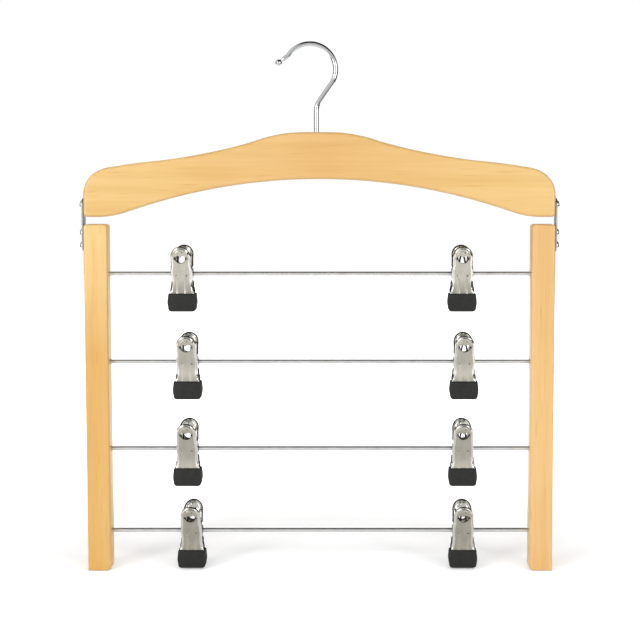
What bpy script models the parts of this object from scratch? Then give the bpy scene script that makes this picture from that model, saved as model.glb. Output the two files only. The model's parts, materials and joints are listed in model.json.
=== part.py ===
"""Multi-tier clip hanger.

A wooden shoulder bar hangs from a swivelling wire hook. Two wooden side bars hang from its ends on
steel straps and carry four steel rods. Each rod carries two sprung clips with soft boots.

The origin is the inside top of the hook's crook, where it rests on a rail. +X is the hanger's right
as seen from the front, +Y points to the back and +Z is up. Lengths are in metres.
"""

import math

import bmesh
import bpy
from mathutils import Vector

MM = 0.001

# Clearances shared by the whole product
GAP = 0.3 * MM
OVERRUN = 2.0 * MM
WELD = 0.01 * MM

# Hook: round wire, with a ball at its tip and a peened head under the wood
WIRE_DIA = 3.8 * MM
CROOK_RADIUS = 20.0 * MM
SHANK_OFFSET = 4.8 * MM
LEAN = math.radians(35)
NECK_RADIUS = 14.0 * MM
CROOK_SWEEP = math.radians(182)
TIP_BEND_RADIUS = 10.0 * MM
TIP_BEND = math.radians(36)
TIP_RUN = 3.6 * MM
TIP_BALL_DIA = 4.9 * MM
PEENED_HEAD_DIA = 6.6 * MM
PEENED_HEAD_HEIGHT = 1.8 * MM
WASHER_DIA = 9.0 * MM
WASHER_THICK = 1.0 * MM

# Shoulder bar: sawn from board, with a raised middle and an arched underside
WOOD_OFFSET = 2.4 * MM
HALF_WIDTH = 185.0 * MM
BOARD_THICK = 14.5 * MM
BOARD_ROUND = 2.4 * MM
HUMP_TOP = -66.9 * MM
SLOPE_DROP = 26.6 * MM
SLOPE_SHARES = (
    (0.0, 0.0),
    (0.11, 0.02),
    (0.2, 0.127),
    (0.3, 0.335),
    (0.42, 0.54),
    (0.6, 0.77),
    (0.77, 0.906),
    (0.86, 1.0),
)
END_TOP_DROP = 51.0 * MM
DEPTH_MIDDLE = 36.6 * MM
END_BOTTOM_DROP = 66.2 * MM
END_CORNER = 3.7 * MM
ARCH_HALF_SHARE = 0.87
ARCH_BLEND = 12.0 * MM
COUNTERBORE_DEPTH = 7.0 * MM
COUNTERBORE_DIA = 10.4 * MM

# Side bars
BAR_WIDTH = 18.5 * MM
BAR_DEPTH = 15.0 * MM
BAR_LENGTH = 276.5 * MM
BAR_GAP = 6.0 * MM
BAR_ROUND = 1.6 * MM
BAR_FOOT_ROUND = 4.5 * MM

# Rods: plated steel, glued into blind holes in the side bars
ROD_DIA = 3.2 * MM
ROD_DROP_SHARES = (0.1414, 0.3946, 0.647, 0.8872)
ROD_SEAT = 10.0 * MM

# Straps and screws that join the side bars to the shoulder bar
STRAP_THICK = 1.2 * MM
STRAP_WIDTH = 11.0 * MM
STRAP_OVERHANG = 5.0 * MM
PIVOT_RISE = 9.5 * MM
LOWER_SCREW_DROPS = (6.6 * MM, 16.6 * MM)
SCREW_DIA = 3.0 * MM
SCREW_LENGTH = 13.0 * MM
SCREW_POINT = 2.0 * MM
SCREW_HEAD_DIA = 6.6 * MM
SCREW_HEAD_HEIGHT = 1.9 * MM
SCREW_DOME_SHARES = ((0.0, 1.0), (0.55, 0.87), (0.88, 0.5), (1.0, 0.0))

# Clips: places on each rod, as shares of the way from its middle to a side bar
CLIP_SHARES = ((-0.652, 0.675), (-0.631, 0.686), (-0.634, 0.682), (-0.617, 0.685))

# Clip jaws: stamped sheet, heights and drops measured from the rod
SHEET = 0.9 * MM
HANDLE_TOP = 22.1 * MM
HANDLE_HALF = 7.75 * MM
HANDLE_SPREAD = 14.0 * MM
PLATE_OFFSET = 5.5 * MM
ROD_HALF = 8.5 * MM
WAIST_DROP = 9.5 * MM
WAIST_HALF = 8.2 * MM
GRIP_DROP = 15.5 * MM
GRIP_HALF = 9.6 * MM
GRIP_OFFSET = 2.75 * MM
JAW_DROP = 28.0 * MM
RIM = 1.0 * MM
FLANGE = 2.0 * MM
EAR_RADIUS = 3.9 * MM
EAR_FOOT = 4.4 * MM
EAR_STEP_SHARE = 0.67
CROWN_SHARE = 0.85
FLUTE_DEPTH = 0.5 * MM
COLUMN_SHARES = (-1.0, -0.5, 0.0, 0.5, 1.0)
FLUTE_SHARES = (0.0, 1.0, 0.0, 1.0, 0.0)
HOLE_WIDTH = 9.5 * MM
HOLE_HEIGHT = 5.4 * MM
HOLE_RISE = 12.6 * MM
HOLE_LIP = 1.0 * MM

# Clip boots: soft sleeves pushed over the jaw tips
BOOT_WIDTH = 23.0 * MM
BOOT_HEIGHT = 14.3 * MM
BOOT_WALL = 1.4 * MM
BOOT_CORNER = 3.0 * MM
BOOT_SHOULDER = 1.2 * MM
BOOT_BULGE = 0.5 * MM
BOOT_EDGE = 0.7 * MM

# Clip spring: round wire wound on the rod, one leg up each handle
SPRING_WIRE = 1.4 * MM
SPRING_PITCH = 2.0 * MM
SPRING_TURNS = 4
POINTS_PER_TURN = 8
LEG_INSET = 1.6 * MM
LEG_HEIGHT = 15.5 * MM

# Counts of facets round the turned and drawn pieces
ROUND_STEPS = 16
SCREW_STEPS = 10
ARC_STEPS = 6
BEND_STEP = math.radians(12)
SHARP_ANGLE = math.radians(35)

# Places that follow from the sizes above
ROW_NAMES = ("row_1", "row_2", "row_3", "row_4")
SHANK_X = SHANK_OFFSET
WOOD_X = SHANK_X + WOOD_OFFSET
CROOK_CENTRE_Z = WIRE_DIA / 2 - CROOK_RADIUS
ARCH_TOP_Z = HUMP_TOP - DEPTH_MIDDLE
ARCH_HALF = ARCH_HALF_SHARE * HALF_WIDTH
ARCH_DROP = END_BOTTOM_DROP - DEPTH_MIDDLE
ARCH_RADIUS = (ARCH_HALF**2 + ARCH_DROP**2) / (2 * ARCH_DROP)
END_BOTTOM_Z = HUMP_TOP - END_BOTTOM_DROP
PIVOT_Z = END_BOTTOM_Z + PIVOT_RISE
BAR_TOP_Z = END_BOTTOM_Z - BAR_GAP
BAR_BOTTOM_Z = BAR_TOP_Z - BAR_LENGTH
BAR_INNER_X = HALF_WIDTH - BAR_WIDTH
ROD_HEIGHTS = tuple(BAR_TOP_Z - share * BAR_LENGTH for share in ROD_DROP_SHARES)
DOME_RISE = HANDLE_TOP - HANDLE_HALF
BOOT_BACK = GAP / 2
BOOT_THICK = GRIP_OFFSET + SHEET / 2 + GAP + BOOT_WALL - BOOT_BACK


def clear_scene():
    """Remove what the scene holds and make one collection for parts and one for cutters."""
    for old in list(bpy.data.objects):
        bpy.data.objects.remove(old, do_unlink=True)
    collections = []
    for name in ("clip_hanger", "cutters"):
        group = bpy.data.collections.new(name)
        bpy.context.scene.collection.children.link(group)
        collections.append(group)
    return collections


PARTS, CUTTERS = clear_scene()


def make_material(name, colour, roughness, metallic=0.0):
    """A Principled material in the part's own colour."""
    material = bpy.data.materials.new(name)
    material.use_nodes = True
    shader = material.node_tree.nodes["Principled BSDF"]
    shader.inputs["Base Color"].default_value = (*colour, 1.0)
    shader.inputs["Roughness"].default_value = roughness
    shader.inputs["Metallic"].default_value = metallic
    return material


LACQUERED_WOOD = make_material("lacquered_wood", (0.90, 0.53, 0.19), 0.38)
CHROMED_WIRE = make_material("chromed_wire", (0.62, 0.62, 0.63), 0.12, 1.0)
PLATED_ROD = make_material("plated_rod", (0.58, 0.58, 0.58), 0.2, 1.0)
NICKEL_SHEET = make_material("nickel_sheet", (0.52, 0.50, 0.44), 0.3, 1.0)
SPRING_STEEL = make_material("spring_steel", (0.35, 0.34, 0.32), 0.35, 1.0)
ZINC_SCREW = make_material("zinc_screw", (0.50, 0.50, 0.50), 0.35, 1.0)
BLACK_VINYL = make_material("black_vinyl", (0.045, 0.045, 0.042), 0.45)


def link(obj, material, parent=None):
    """Put an object among the parts, with its material, parent and shading."""
    PARTS.objects.link(obj)
    obj.data.materials.clear()
    obj.data.materials.append(material)
    obj.parent = parent
    obj.data.shade_smooth()
    obj.data.set_sharp_from_angle(angle=SHARP_ANGLE)


def link_cutter(obj, parent=None):
    """Put a cutter among the cutters, out of renders and drawn as wire."""
    CUTTERS.objects.link(obj)
    obj.hide_render = True
    obj.display_type = "WIRE"
    obj.parent = parent
    return obj


def axis_empty(name, location, parent=None):
    """An empty that stands on a joint's axis."""
    empty = bpy.data.objects.new(name, None)
    PARTS.objects.link(empty)
    empty.parent = parent
    empty.location = location
    return empty


def mesh_object(name, bm):
    """Turn a bmesh into an object that is not yet in a collection."""
    mesh = bpy.data.meshes.new(name)
    bm.to_mesh(mesh)
    bm.free()
    return bpy.data.objects.new(name, mesh)


def box_object(name, size, centre=(0.0, 0.0, 0.0)):
    """A box of real size about a centre, with no scale left on the object."""
    bm = bmesh.new()
    bmesh.ops.create_cube(bm, size=1.0)
    bmesh.ops.scale(bm, vec=Vector(size), verts=bm.verts)
    bmesh.ops.translate(bm, vec=Vector(centre), verts=bm.verts)
    return mesh_object(name, bm)


def cylinder_object(name, diameter, length, axis, steps=ROUND_STEPS, centre=(0.0, 0.0, 0.0)):
    """A capped cylinder along X, Y or Z."""
    bm = bmesh.new()
    bmesh.ops.create_cone(
        bm, cap_ends=True, segments=steps, radius1=diameter / 2, radius2=diameter / 2, depth=length
    )
    turned = Vector((0, 0, 1)).rotation_difference(Vector(axis)).to_matrix()
    bmesh.ops.rotate(bm, matrix=turned, verts=bm.verts)
    bmesh.ops.translate(bm, vec=Vector(centre), verts=bm.verts)
    return mesh_object(name, bm)


def turned_object(name, profile, steps, closed=False):
    """A solid of revolution about local Z; the profile runs down the outer side, top to bottom."""
    bm = bmesh.new()
    verts = [bm.verts.new((radius, 0.0, height)) for radius, height in profile]
    for upper, lower in zip(verts, verts[1:]):
        bm.edges.new((upper, lower))
    if closed:
        bm.edges.new((verts[-1], verts[0]))
    obj = mesh_object(name, bm)
    spin = obj.modifiers.new("turn", "SCREW")
    spin.steps = steps
    spin.render_steps = steps
    spin.use_merge_vertices = True
    spin.merge_threshold = WELD
    return obj


def outline_object(name, points, thickness, edge_round, edge_steps):
    """A flat outline in XZ, given thickness along Y, with its edges rounded inside that size."""
    curve = bpy.data.curves.new(name, "CURVE")
    curve.dimensions = "2D"
    curve.fill_mode = "BOTH"
    curve.extrude = thickness / 2 - edge_round
    curve.bevel_depth = edge_round
    curve.bevel_resolution = edge_steps
    curve.offset = -edge_round
    spline = curve.splines.new("POLY")
    spline.points.add(len(points) - 1)
    for point, (x, z) in zip(spline.points, points):
        point.co = (x, z, 0.0, 1.0)
    spline.use_cyclic_u = True
    obj = bpy.data.objects.new(name, curve)
    obj.rotation_euler.x = math.radians(90)
    return mesh_from(obj)


def wire_object(name, points, diameter, resolution):
    """A round wire through the points, with its ends filled."""
    curve = bpy.data.curves.new(name, "CURVE")
    curve.dimensions = "3D"
    curve.bevel_depth = diameter / 2
    curve.bevel_resolution = resolution
    curve.use_fill_caps = True
    spline = curve.splines.new("POLY")
    spline.points.add(len(points) - 1)
    for point, place in zip(spline.points, points):
        point.co = (*place, 1.0)
    return mesh_from(bpy.data.objects.new(name, curve))


def mesh_from(obj):
    """Bake an object, with its modifiers, into a plain mesh object in its parent's axes."""
    bpy.context.scene.collection.objects.link(obj)
    bpy.context.view_layer.update()
    evaluated = obj.evaluated_get(bpy.context.evaluated_depsgraph_get())
    mesh = bpy.data.meshes.new_from_object(evaluated)
    mesh.transform(obj.matrix_world)
    mesh.name = obj.name
    bm = bmesh.new()
    bm.from_mesh(mesh)
    bmesh.ops.remove_doubles(bm, verts=bm.verts, dist=WELD)
    bm.to_mesh(mesh)
    bm.free()
    name = obj.name
    bpy.data.objects.remove(obj, do_unlink=True)
    return bpy.data.objects.new(name, mesh)


def cut(obj, *cutters, operation="DIFFERENCE"):
    """Add one exact Boolean for each cutter."""
    for cutter in cutters:
        boolean = obj.modifiers.new(cutter.name, "BOOLEAN")
        boolean.operation = operation
        boolean.solver = "EXACT"
        boolean.object = cutter
    return obj


def bake_cuts(obj, *cutters, operation="DIFFERENCE"):
    """Cut or join an object once, and return it with the result as its own mesh."""
    for cutter in cutters:
        bpy.context.scene.collection.objects.link(cutter)
    result = mesh_from(cut(obj, *cutters, operation=operation))
    for cutter in cutters:
        bpy.data.objects.remove(cutter, do_unlink=True)
    return result


def smooth_path(anchors, steps):
    """Points of a Catmull-Rom curve through the anchors."""
    last = len(anchors) - 1
    points = []
    for index in range(last):
        before = Vector(anchors[max(index - 1, 0)])
        start = Vector(anchors[index])
        end = Vector(anchors[index + 1])
        after = Vector(anchors[min(index + 2, last)])
        for step in range(steps):
            t = step / steps
            points.append(
                0.5
                * (
                    2 * start
                    + (end - before) * t
                    + (2 * before - 5 * start + 4 * end - after) * t**2
                    + (3 * start - before - 3 * end + after) * t**3
                )
            )
    points.append(Vector(anchors[last]))
    return points


def corner_points(start, corner, end, steps):
    """Points of a rounded corner from start to end, without its two end points."""
    points = []
    for step in range(1, steps):
        t = step / steps
        first = Vector(start).lerp(Vector(corner), t)
        second = Vector(corner).lerp(Vector(end), t)
        points.append(first.lerp(second, t))
    return points


def walk(start, heading, moves):
    """Points of a wire in XZ made of straight runs (length, 0) and bends (radius, turn)."""
    points = [Vector(start)]
    for size, turn in moves:
        place = points[-1]
        if turn == 0:
            points.append(place + size * Vector((math.cos(heading), math.sin(heading))))
            continue
        side = math.copysign(1, turn)
        centre = place + side * size * Vector((-math.sin(heading), math.cos(heading)))
        steps = max(3, round(abs(turn) / BEND_STEP))
        for step in range(1, steps + 1):
            angle = heading + turn * step / steps
            points.append(centre + side * size * Vector((math.sin(angle), -math.cos(angle))))
        heading += turn
    return points


def hook_moves():
    """Where the hook's neck starts to bend, and its moves from there to the tip."""
    crook_start_x = CROOK_RADIUS * math.cos(LEAN)
    crook_start_z = CROOK_CENTRE_Z - CROOK_RADIUS * math.sin(LEAN)
    neck_reach = NECK_RADIUS * (1 - math.cos(LEAN))
    lean_run = (crook_start_x - SHANK_X - neck_reach) / math.sin(LEAN)
    neck_z = crook_start_z - lean_run * math.cos(LEAN) - NECK_RADIUS * math.sin(LEAN)
    moves = (
        (NECK_RADIUS, -LEAN),
        (lean_run, 0),
        (CROOK_RADIUS, CROOK_SWEEP),
        (TIP_BEND_RADIUS, -TIP_BEND),
        (TIP_RUN, 0),
    )
    return neck_z, moves


def make_hook():
    """The wire hook with its ball tip and peened head, and the washer that the head bears on."""
    ceiling_z = ARCH_TOP_Z + COUNTERBORE_DEPTH
    washer_z = ceiling_z - GAP - WASHER_THICK / 2
    head_z = washer_z - WASHER_THICK / 2 - GAP - PEENED_HEAD_HEIGHT / 2
    neck_z, moves = hook_moves()
    route = [Vector((SHANK_X, head_z))]
    route += walk((SHANK_X, neck_z), math.pi / 2, moves)
    wire = wire_object("hook", [(x, 0.0, z) for x, z in route], WIRE_DIA, 2)

    ball_bm = bmesh.new()
    bmesh.ops.create_uvsphere(ball_bm, u_segments=12, v_segments=8, radius=TIP_BALL_DIA / 2)
    ball = mesh_object("tip_ball", ball_bm)
    ball.location = (route[-1].x, 0.0, route[-1].y)

    head_bm = bmesh.new()
    bmesh.ops.create_cone(
        head_bm,
        cap_ends=True,
        segments=ROUND_STEPS,
        radius1=WIRE_DIA / 2,
        radius2=PEENED_HEAD_DIA / 2,
        depth=PEENED_HEAD_HEIGHT,
    )
    head = mesh_object("peened_head", head_bm)
    head.location = (SHANK_X, 0.0, head_z)
    link(bake_cuts(wire, ball, head, operation="UNION"), CHROMED_WIRE)

    inner = WIRE_DIA / 2 + GAP
    outer = WASHER_DIA / 2
    top = WASHER_THICK / 2
    washer = turned_object(
        "hook_washer",
        ((inner, top), (outer, top), (outer, -top), (inner, -top)),
        ROUND_STEPS,
        closed=True,
    )
    washer.location = (SHANK_X, 0.0, washer_z)
    link(washer, CHROMED_WIRE)


def shoulder_outline():
    """The shoulder bar's outline in XZ, from the middle of the hump and the shank's axis."""
    right_top = []
    for along, down in SLOPE_SHARES:
        right_top.append((along * (HALF_WIDTH + WOOD_OFFSET), -down * SLOPE_DROP))
    left_top = []
    for along, down in reversed(SLOPE_SHARES[1:]):
        left_top.append((-along * (HALF_WIDTH - WOOD_OFFSET), -down * SLOPE_DROP))
    points = smooth_path(left_top + right_top, 3)

    for side in (1, -1):
        end_x = WOOD_OFFSET + side * HALF_WIDTH
        slope_end = right_top[-1] if side == 1 else left_top[0]
        round_end = corner_points(
            slope_end, (end_x, slope_end[1] - BOARD_ROUND), (end_x, -END_TOP_DROP), ARC_STEPS
        )
        foot = Vector((end_x, -END_BOTTOM_DROP))
        before_foot = foot + Vector((0, END_CORNER))
        after_foot = foot - Vector((side * END_CORNER, 0))
        arch_start = Vector((WOOD_OFFSET + side * ARCH_HALF, -END_BOTTOM_DROP))
        slope = math.asin(ARCH_HALF / ARCH_RADIUS)
        on_flat = arch_start + Vector((side * ARCH_BLEND, 0))
        on_arch = arch_start + ARCH_BLEND * Vector((-side * math.cos(slope), math.sin(slope)))
        end = round_end + [Vector((end_x, -END_TOP_DROP)), before_foot]
        end += corner_points(before_foot, foot, after_foot, 3) + [after_foot, on_flat]
        end += corner_points(on_flat, arch_start, on_arch, 3)
        if side == 1:
            points += end + arch_points(slope)
        else:
            points += reversed(end)
    return [(x, z) for x, z in points]


def arch_points(slope):
    """Points of the arched underside, from the right end to the left."""
    sweep = slope - ARCH_BLEND / ARCH_RADIUS
    steps = 3 * ARC_STEPS
    points = []
    for step in range(steps + 1):
        angle = sweep * (1 - 2 * step / steps)
        rise = ARCH_RADIUS * (1 - math.cos(angle))
        points.append(Vector((WOOD_OFFSET + ARCH_RADIUS * math.sin(angle), -DEPTH_MIDDLE - rise)))
    return points


def pilot_hole(name, side, z, parent=None):
    """Cutter for a screw's pilot hole, driven into the outer face of the wood on one side."""
    depth = SCREW_LENGTH - STRAP_THICK - GAP
    centre_x = side * (HALF_WIDTH - depth / 2 + OVERRUN / 2)
    hole = cylinder_object(
        name, SCREW_DIA + 2 * GAP, depth + OVERRUN, (1, 0, 0), SCREW_STEPS, (centre_x, 0.0, z)
    )
    return link_cutter(hole, parent)


def make_shoulder():
    """The shoulder bar, with the hook's bore and counterbore and the pivot screws' pilot holes."""
    shoulder = outline_object("shoulder_bar", shoulder_outline(), BOARD_THICK, BOARD_ROUND, 1)
    shoulder.location = (SHANK_X, 0.0, HUMP_TOP)
    bore = cylinder_object("hook_bore", WIRE_DIA + 2 * GAP, 2 * DEPTH_MIDDLE, (0, 0, 1))
    bore.location = (SHANK_X, 0.0, HUMP_TOP - DEPTH_MIDDLE / 2)
    bore.rotation_euler.z = math.pi / (2 * ROUND_STEPS)
    sink_depth = COUNTERBORE_DEPTH + OVERRUN
    sink = cylinder_object("hook_counterbore", COUNTERBORE_DIA, sink_depth, (0, 0, 1))
    sink.location = (SHANK_X, 0.0, ARCH_TOP_Z + COUNTERBORE_DEPTH - sink_depth / 2)
    sink.rotation_euler.z = bore.rotation_euler.z
    cutters = [link_cutter(bore), link_cutter(sink)]
    for name, side in (("left", -1), ("right", 1)):
        hole = pilot_hole(f"pivot_hole_{name}", side, PIVOT_Z)
        hole.location.x = WOOD_X
        cutters.append(hole)
    link(cut(shoulder, *cutters), LACQUERED_WOOD)


def make_side_bar(name, side, ladder):
    """One side bar, with blind holes for the rods and pilot holes for the strap's screws."""
    top = BAR_TOP_Z - PIVOT_Z
    foot = BAR_BOTTOM_Z - PIVOT_Z
    outer = side * HALF_WIDTH
    inner = side * BAR_INNER_X
    inner_foot = Vector((inner, foot))
    rise = inner_foot + Vector((0, BAR_FOOT_ROUND))
    run = inner_foot + Vector((side * BAR_FOOT_ROUND, 0))
    outline = [Vector((inner, top)), rise, *corner_points(rise, inner_foot, run, 4), run]
    outline += [Vector((outer, foot)), Vector((outer, top))]
    bar = outline_object(f"side_bar_{name}", outline, BAR_DEPTH, BAR_ROUND, 1)
    cutters = []
    for row, height in zip(ROW_NAMES, ROD_HEIGHTS):
        seat = ROD_SEAT + GAP + OVERRUN
        seat_x = side * (BAR_INNER_X - OVERRUN + seat / 2)
        place = (seat_x, 0.0, height - PIVOT_Z)
        hole = cylinder_object(f"{row}_seat_{name}", ROD_DIA + 2 * GAP, seat, (1, 0, 0), centre=place)
        cutters.append(link_cutter(hole, ladder))
    for number, drop in enumerate(LOWER_SCREW_DROPS, 1):
        cutters.append(pilot_hole(f"strap_hole_{name}_{number}", side, top - drop, ladder))
    link(cut(bar, *cutters), LACQUERED_WOOD, ladder)


def make_rods(ladder):
    """The four rods, their ends seated in the side bars."""
    for row, height in zip(ROW_NAMES, ROD_HEIGHTS):
        length = 2 * (BAR_INNER_X + ROD_SEAT)
        rod = cylinder_object(f"{row}_rod", ROD_DIA, length, (1, 0, 0))
        rod.location.z = height - PIVOT_Z
        link(rod, PLATED_ROD, ladder)


def strap_places():
    """Heights of the strap's three screws from the pivot, the pivot first."""
    bar_top = BAR_TOP_Z - PIVOT_Z
    return [0.0] + [bar_top - drop for drop in LOWER_SCREW_DROPS]


def make_strap(name, side, ladder):
    """A flat steel strap with round ends, on the outer faces of shoulder bar and side bar."""
    places = strap_places()
    top = STRAP_OVERHANG
    bottom = places[-1] - STRAP_OVERHANG
    half = STRAP_WIDTH / 2
    outline = []
    for step in range(ARC_STEPS + 1):
        angle = math.pi * step / ARC_STEPS
        outline.append((half * math.cos(angle), top - STRAP_OVERHANG * (1 - math.sin(angle))))
    for step in range(ARC_STEPS + 1):
        angle = math.pi * (1 + step / ARC_STEPS)
        outline.append((half * math.cos(angle), bottom + STRAP_OVERHANG * (1 + math.sin(angle))))
    strap = outline_object(f"strap_{name}", outline, STRAP_THICK, 0.0, 0)
    strap.rotation_euler.z = math.radians(90)
    strap.location.x = side * (HALF_WIDTH + GAP + STRAP_THICK / 2)
    cutters = []
    for number, height in enumerate(places):
        hole = cylinder_object(
            f"strap_clearance_{name}_{number}",
            SCREW_DIA + 2 * GAP,
            STRAP_THICK + 2 * OVERRUN,
            (1, 0, 0),
            SCREW_STEPS,
            (strap.location.x, 0.0, height),
        )
        cutters.append(link_cutter(hole, ladder))
    link(cut(strap, *cutters), ZINC_SCREW, ladder)


def make_screws(name, side, ladder):
    """The strap's three dome-headed screws: the upper one is the pivot and stays in the shoulder."""
    head = SCREW_HEAD_DIA / 2
    shank = SCREW_DIA / 2
    dome = [(out * head, up * SCREW_HEAD_HEIGHT) for out, up in SCREW_DOME_SHARES]
    profile = (
        *dome,
        (shank, 0.0),
        (shank, SCREW_POINT - SCREW_LENGTH),
        (0.0, -SCREW_LENGTH),
    )
    head_x = side * (HALF_WIDTH + STRAP_THICK + 2 * GAP)
    screw_names = (f"pivot_screw_{name}", f"strap_screw_{name}_upper", f"strap_screw_{name}_lower")
    for screw_name, height in zip(screw_names, strap_places()):
        screw = turned_object(screw_name, profile, SCREW_STEPS)
        screw.rotation_euler.y = side * math.radians(90)
        screw.location = (head_x, 0.0, height)
        if screw_name.startswith("pivot"):
            screw.location += Vector((WOOD_X, 0.0, PIVOT_Z))
            link(screw, ZINC_SCREW)
        else:
            link(screw, ZINC_SCREW, ladder)


def half_width(z, nest):
    """Half the width of a jaw's middle surface at a height; nest draws its ears inward."""
    keys = (
        (-JAW_DROP, GRIP_HALF),
        (-GRIP_DROP, GRIP_HALF),
        (-WAIST_DROP, WAIST_HALF),
        (0.0, ROD_HALF),
        (DOME_RISE, HANDLE_HALF),
    )
    width = HANDLE_HALF
    for (low, low_width), (high, high_width) in zip(keys, keys[1:]):
        if low <= z < high:
            width = low_width + (high_width - low_width) * (z - low) / (high - low)
            break
    if abs(z) <= EAR_FOOT:
        width -= nest
    return width - SHEET / 2


def plate_offset(z):
    """How far a jaw's middle surface stands from the rod's axis at a height."""
    if z >= 0:
        return PLATE_OFFSET + (HANDLE_SPREAD - PLATE_OFFSET) * z / HANDLE_TOP
    closing = min(1.0, -z / GRIP_DROP)
    return PLATE_OFFSET + (GRIP_OFFSET - PLATE_OFFSET) * closing * (2 - closing)


def flange_depth(z):
    """How far a jaw's bent edge reaches back: a low flange, and an ear round the rod."""
    if abs(z) < EAR_RADIUS:
        return plate_offset(z) + math.sqrt(EAR_RADIUS**2 - z**2)
    return FLANGE


def jaw_rows(nest):
    """Rows of places (x, z, flute) across a jaw's flat part, from the boot up to the dome."""
    ear_mid = EAR_RADIUS * EAR_STEP_SHARE
    heights = (
        -JAW_DROP,
        -GRIP_DROP,
        -WAIST_DROP,
        -EAR_FOOT,
        -ear_mid,
        0.0,
        ear_mid,
        EAR_FOOT,
        DOME_RISE,
    )
    rows = []
    for z in heights:
        reach = half_width(z, nest) - RIM
        depth = FLUTE_DEPTH if z == -WAIST_DROP else 0.0
        shares = zip(COLUMN_SHARES, FLUTE_SHARES)
        rows.append([(share * reach, z, depth * flute) for share, flute in shares])
    dome = HANDLE_HALF - SHEET / 2 - RIM
    crown_xs = [share * dome * CROWN_SHARE for share in COLUMN_SHARES]
    rows.append([(x, DOME_RISE + math.sqrt(dome**2 - x**2), 0.0) for x in crown_xs])
    return rows


def jaw_sheet(name, nest):
    """A jaw's middle surface: flat part, rounded rim, flanges and ears, facing the front."""
    bm = bmesh.new()
    rows = jaw_rows(nest)
    grid = [[bm.verts.new((x, -plate_offset(z) - flute, z)) for x, z, flute in row] for row in rows]
    for lower, upper in zip(grid, grid[1:]):
        for column in range(len(COLUMN_SHARES) - 1):
            bm.faces.new((lower[column], lower[column + 1], upper[column + 1], upper[column]))

    left = [(row[0], places[0], Vector((-1, 0))) for row, places in zip(grid[:-1], rows[:-1])]
    right = [(row[-1], places[-1], Vector((1, 0))) for row, places in zip(grid[:-1], rows[:-1])]
    crown = []
    for vert, place in zip(grid[-1], rows[-1]):
        crown.append((vert, place, Vector((place[0], place[1] - DOME_RISE)).normalized()))
    rim = left + crown + right[::-1]

    loops = []
    for vert, (x, z, flute), outward in rim:
        bent = 0.0 if z <= -GRIP_DROP else 1.0
        shoulder = Vector((x, z)) + outward * RIM * (1 + bent) / 2
        edge = Vector((x, z)) + outward * RIM
        depth = flange_depth(z) * bent
        shoulder_y = RIM * bent - plate_offset(shoulder.y)
        edge_y = depth - plate_offset(edge.y)
        loops.append(
            (
                vert,
                bm.verts.new((shoulder.x, shoulder_y, shoulder.y)),
                bm.verts.new((edge.x, edge_y, edge.y)),
            )
        )
    for near, far in zip(loops, loops[1:]):
        for ring in range(2):
            bm.faces.new((near[ring], far[ring], far[ring + 1], near[ring + 1]))
    bmesh.ops.recalc_face_normals(bm, faces=bm.faces)
    sheet = mesh_object(name, bm)
    solid = sheet.modifiers.new("sheet", "SOLIDIFY")
    solid.thickness = SHEET
    solid.offset = 0.0
    solid.use_even_offset = True
    return sheet


def hole_outline():
    """The lanced hole's outline: a round lower edge under a lip that sags in the middle."""
    half = HOLE_WIDTH / 2
    points = []
    for step in range(ARC_STEPS + 3):
        angle = math.pi * (1 + step / (ARC_STEPS + 2))
        points.append((half * math.cos(angle), HOLE_RISE + HOLE_HEIGHT * math.sin(angle)))
    for share in (0.5, 0.0, -0.5):
        points.append((share * half, HOLE_RISE - HOLE_LIP * (1 - abs(share))))
    return points


def jaw_solid(name, nest):
    """One finished jaw, with the rod's holes in its ears and the lanced hole in its handle."""
    rod_hole = cylinder_object("rod_hole", ROD_DIA + 2 * GAP, 2 * (ROD_HALF + OVERRUN), (1, 0, 0), 12)
    lance = outline_object("lance", hole_outline(), 3 * HOLE_HEIGHT, 0.0, 0)
    lance.location.y = -plate_offset(HOLE_RISE) - OVERRUN
    return bake_cuts(jaw_sheet(name, nest), rod_hole, lance)


def boot_outline():
    """The boot seen from the front, with slightly full sides and rounder lower corners."""
    top = -GRIP_DROP
    bottom = top - BOOT_HEIGHT
    half = BOOT_WIDTH / 2
    trim = half - BOOT_BULGE
    points = []
    for side in (1, -1):
        upper = Vector((side * trim, top))
        lower = Vector((side * trim, bottom))
        over = upper - Vector((side * BOOT_SHOULDER, 0))
        under = upper - Vector((0, BOOT_SHOULDER))
        above = lower + Vector((0, BOOT_CORNER))
        beside = lower - Vector((side * BOOT_CORNER, 0))
        edge = [over, under, Vector((side * half, (top + bottom) / 2)), above]
        edge += corner_points(above, lower, beside, 3) + [beside]
        points += edge if side == 1 else reversed(edge)
    return points


def boot_solid(name):
    """One boot, with the slot that its jaw's tip fills."""
    boot = outline_object(name, boot_outline(), BOOT_THICK, BOOT_EDGE, 0)
    boot.location.y = -BOOT_BACK - BOOT_THICK / 2
    slot_height = JAW_DROP - GRIP_DROP + GAP + OVERRUN
    slot = box_object(
        "slot",
        (2 * (GRIP_HALF + GAP), SHEET + 2 * GAP, slot_height),
        (0.0, -GRIP_OFFSET, OVERRUN - GRIP_DROP - slot_height / 2),
    )
    return bake_cuts(boot, slot)


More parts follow.
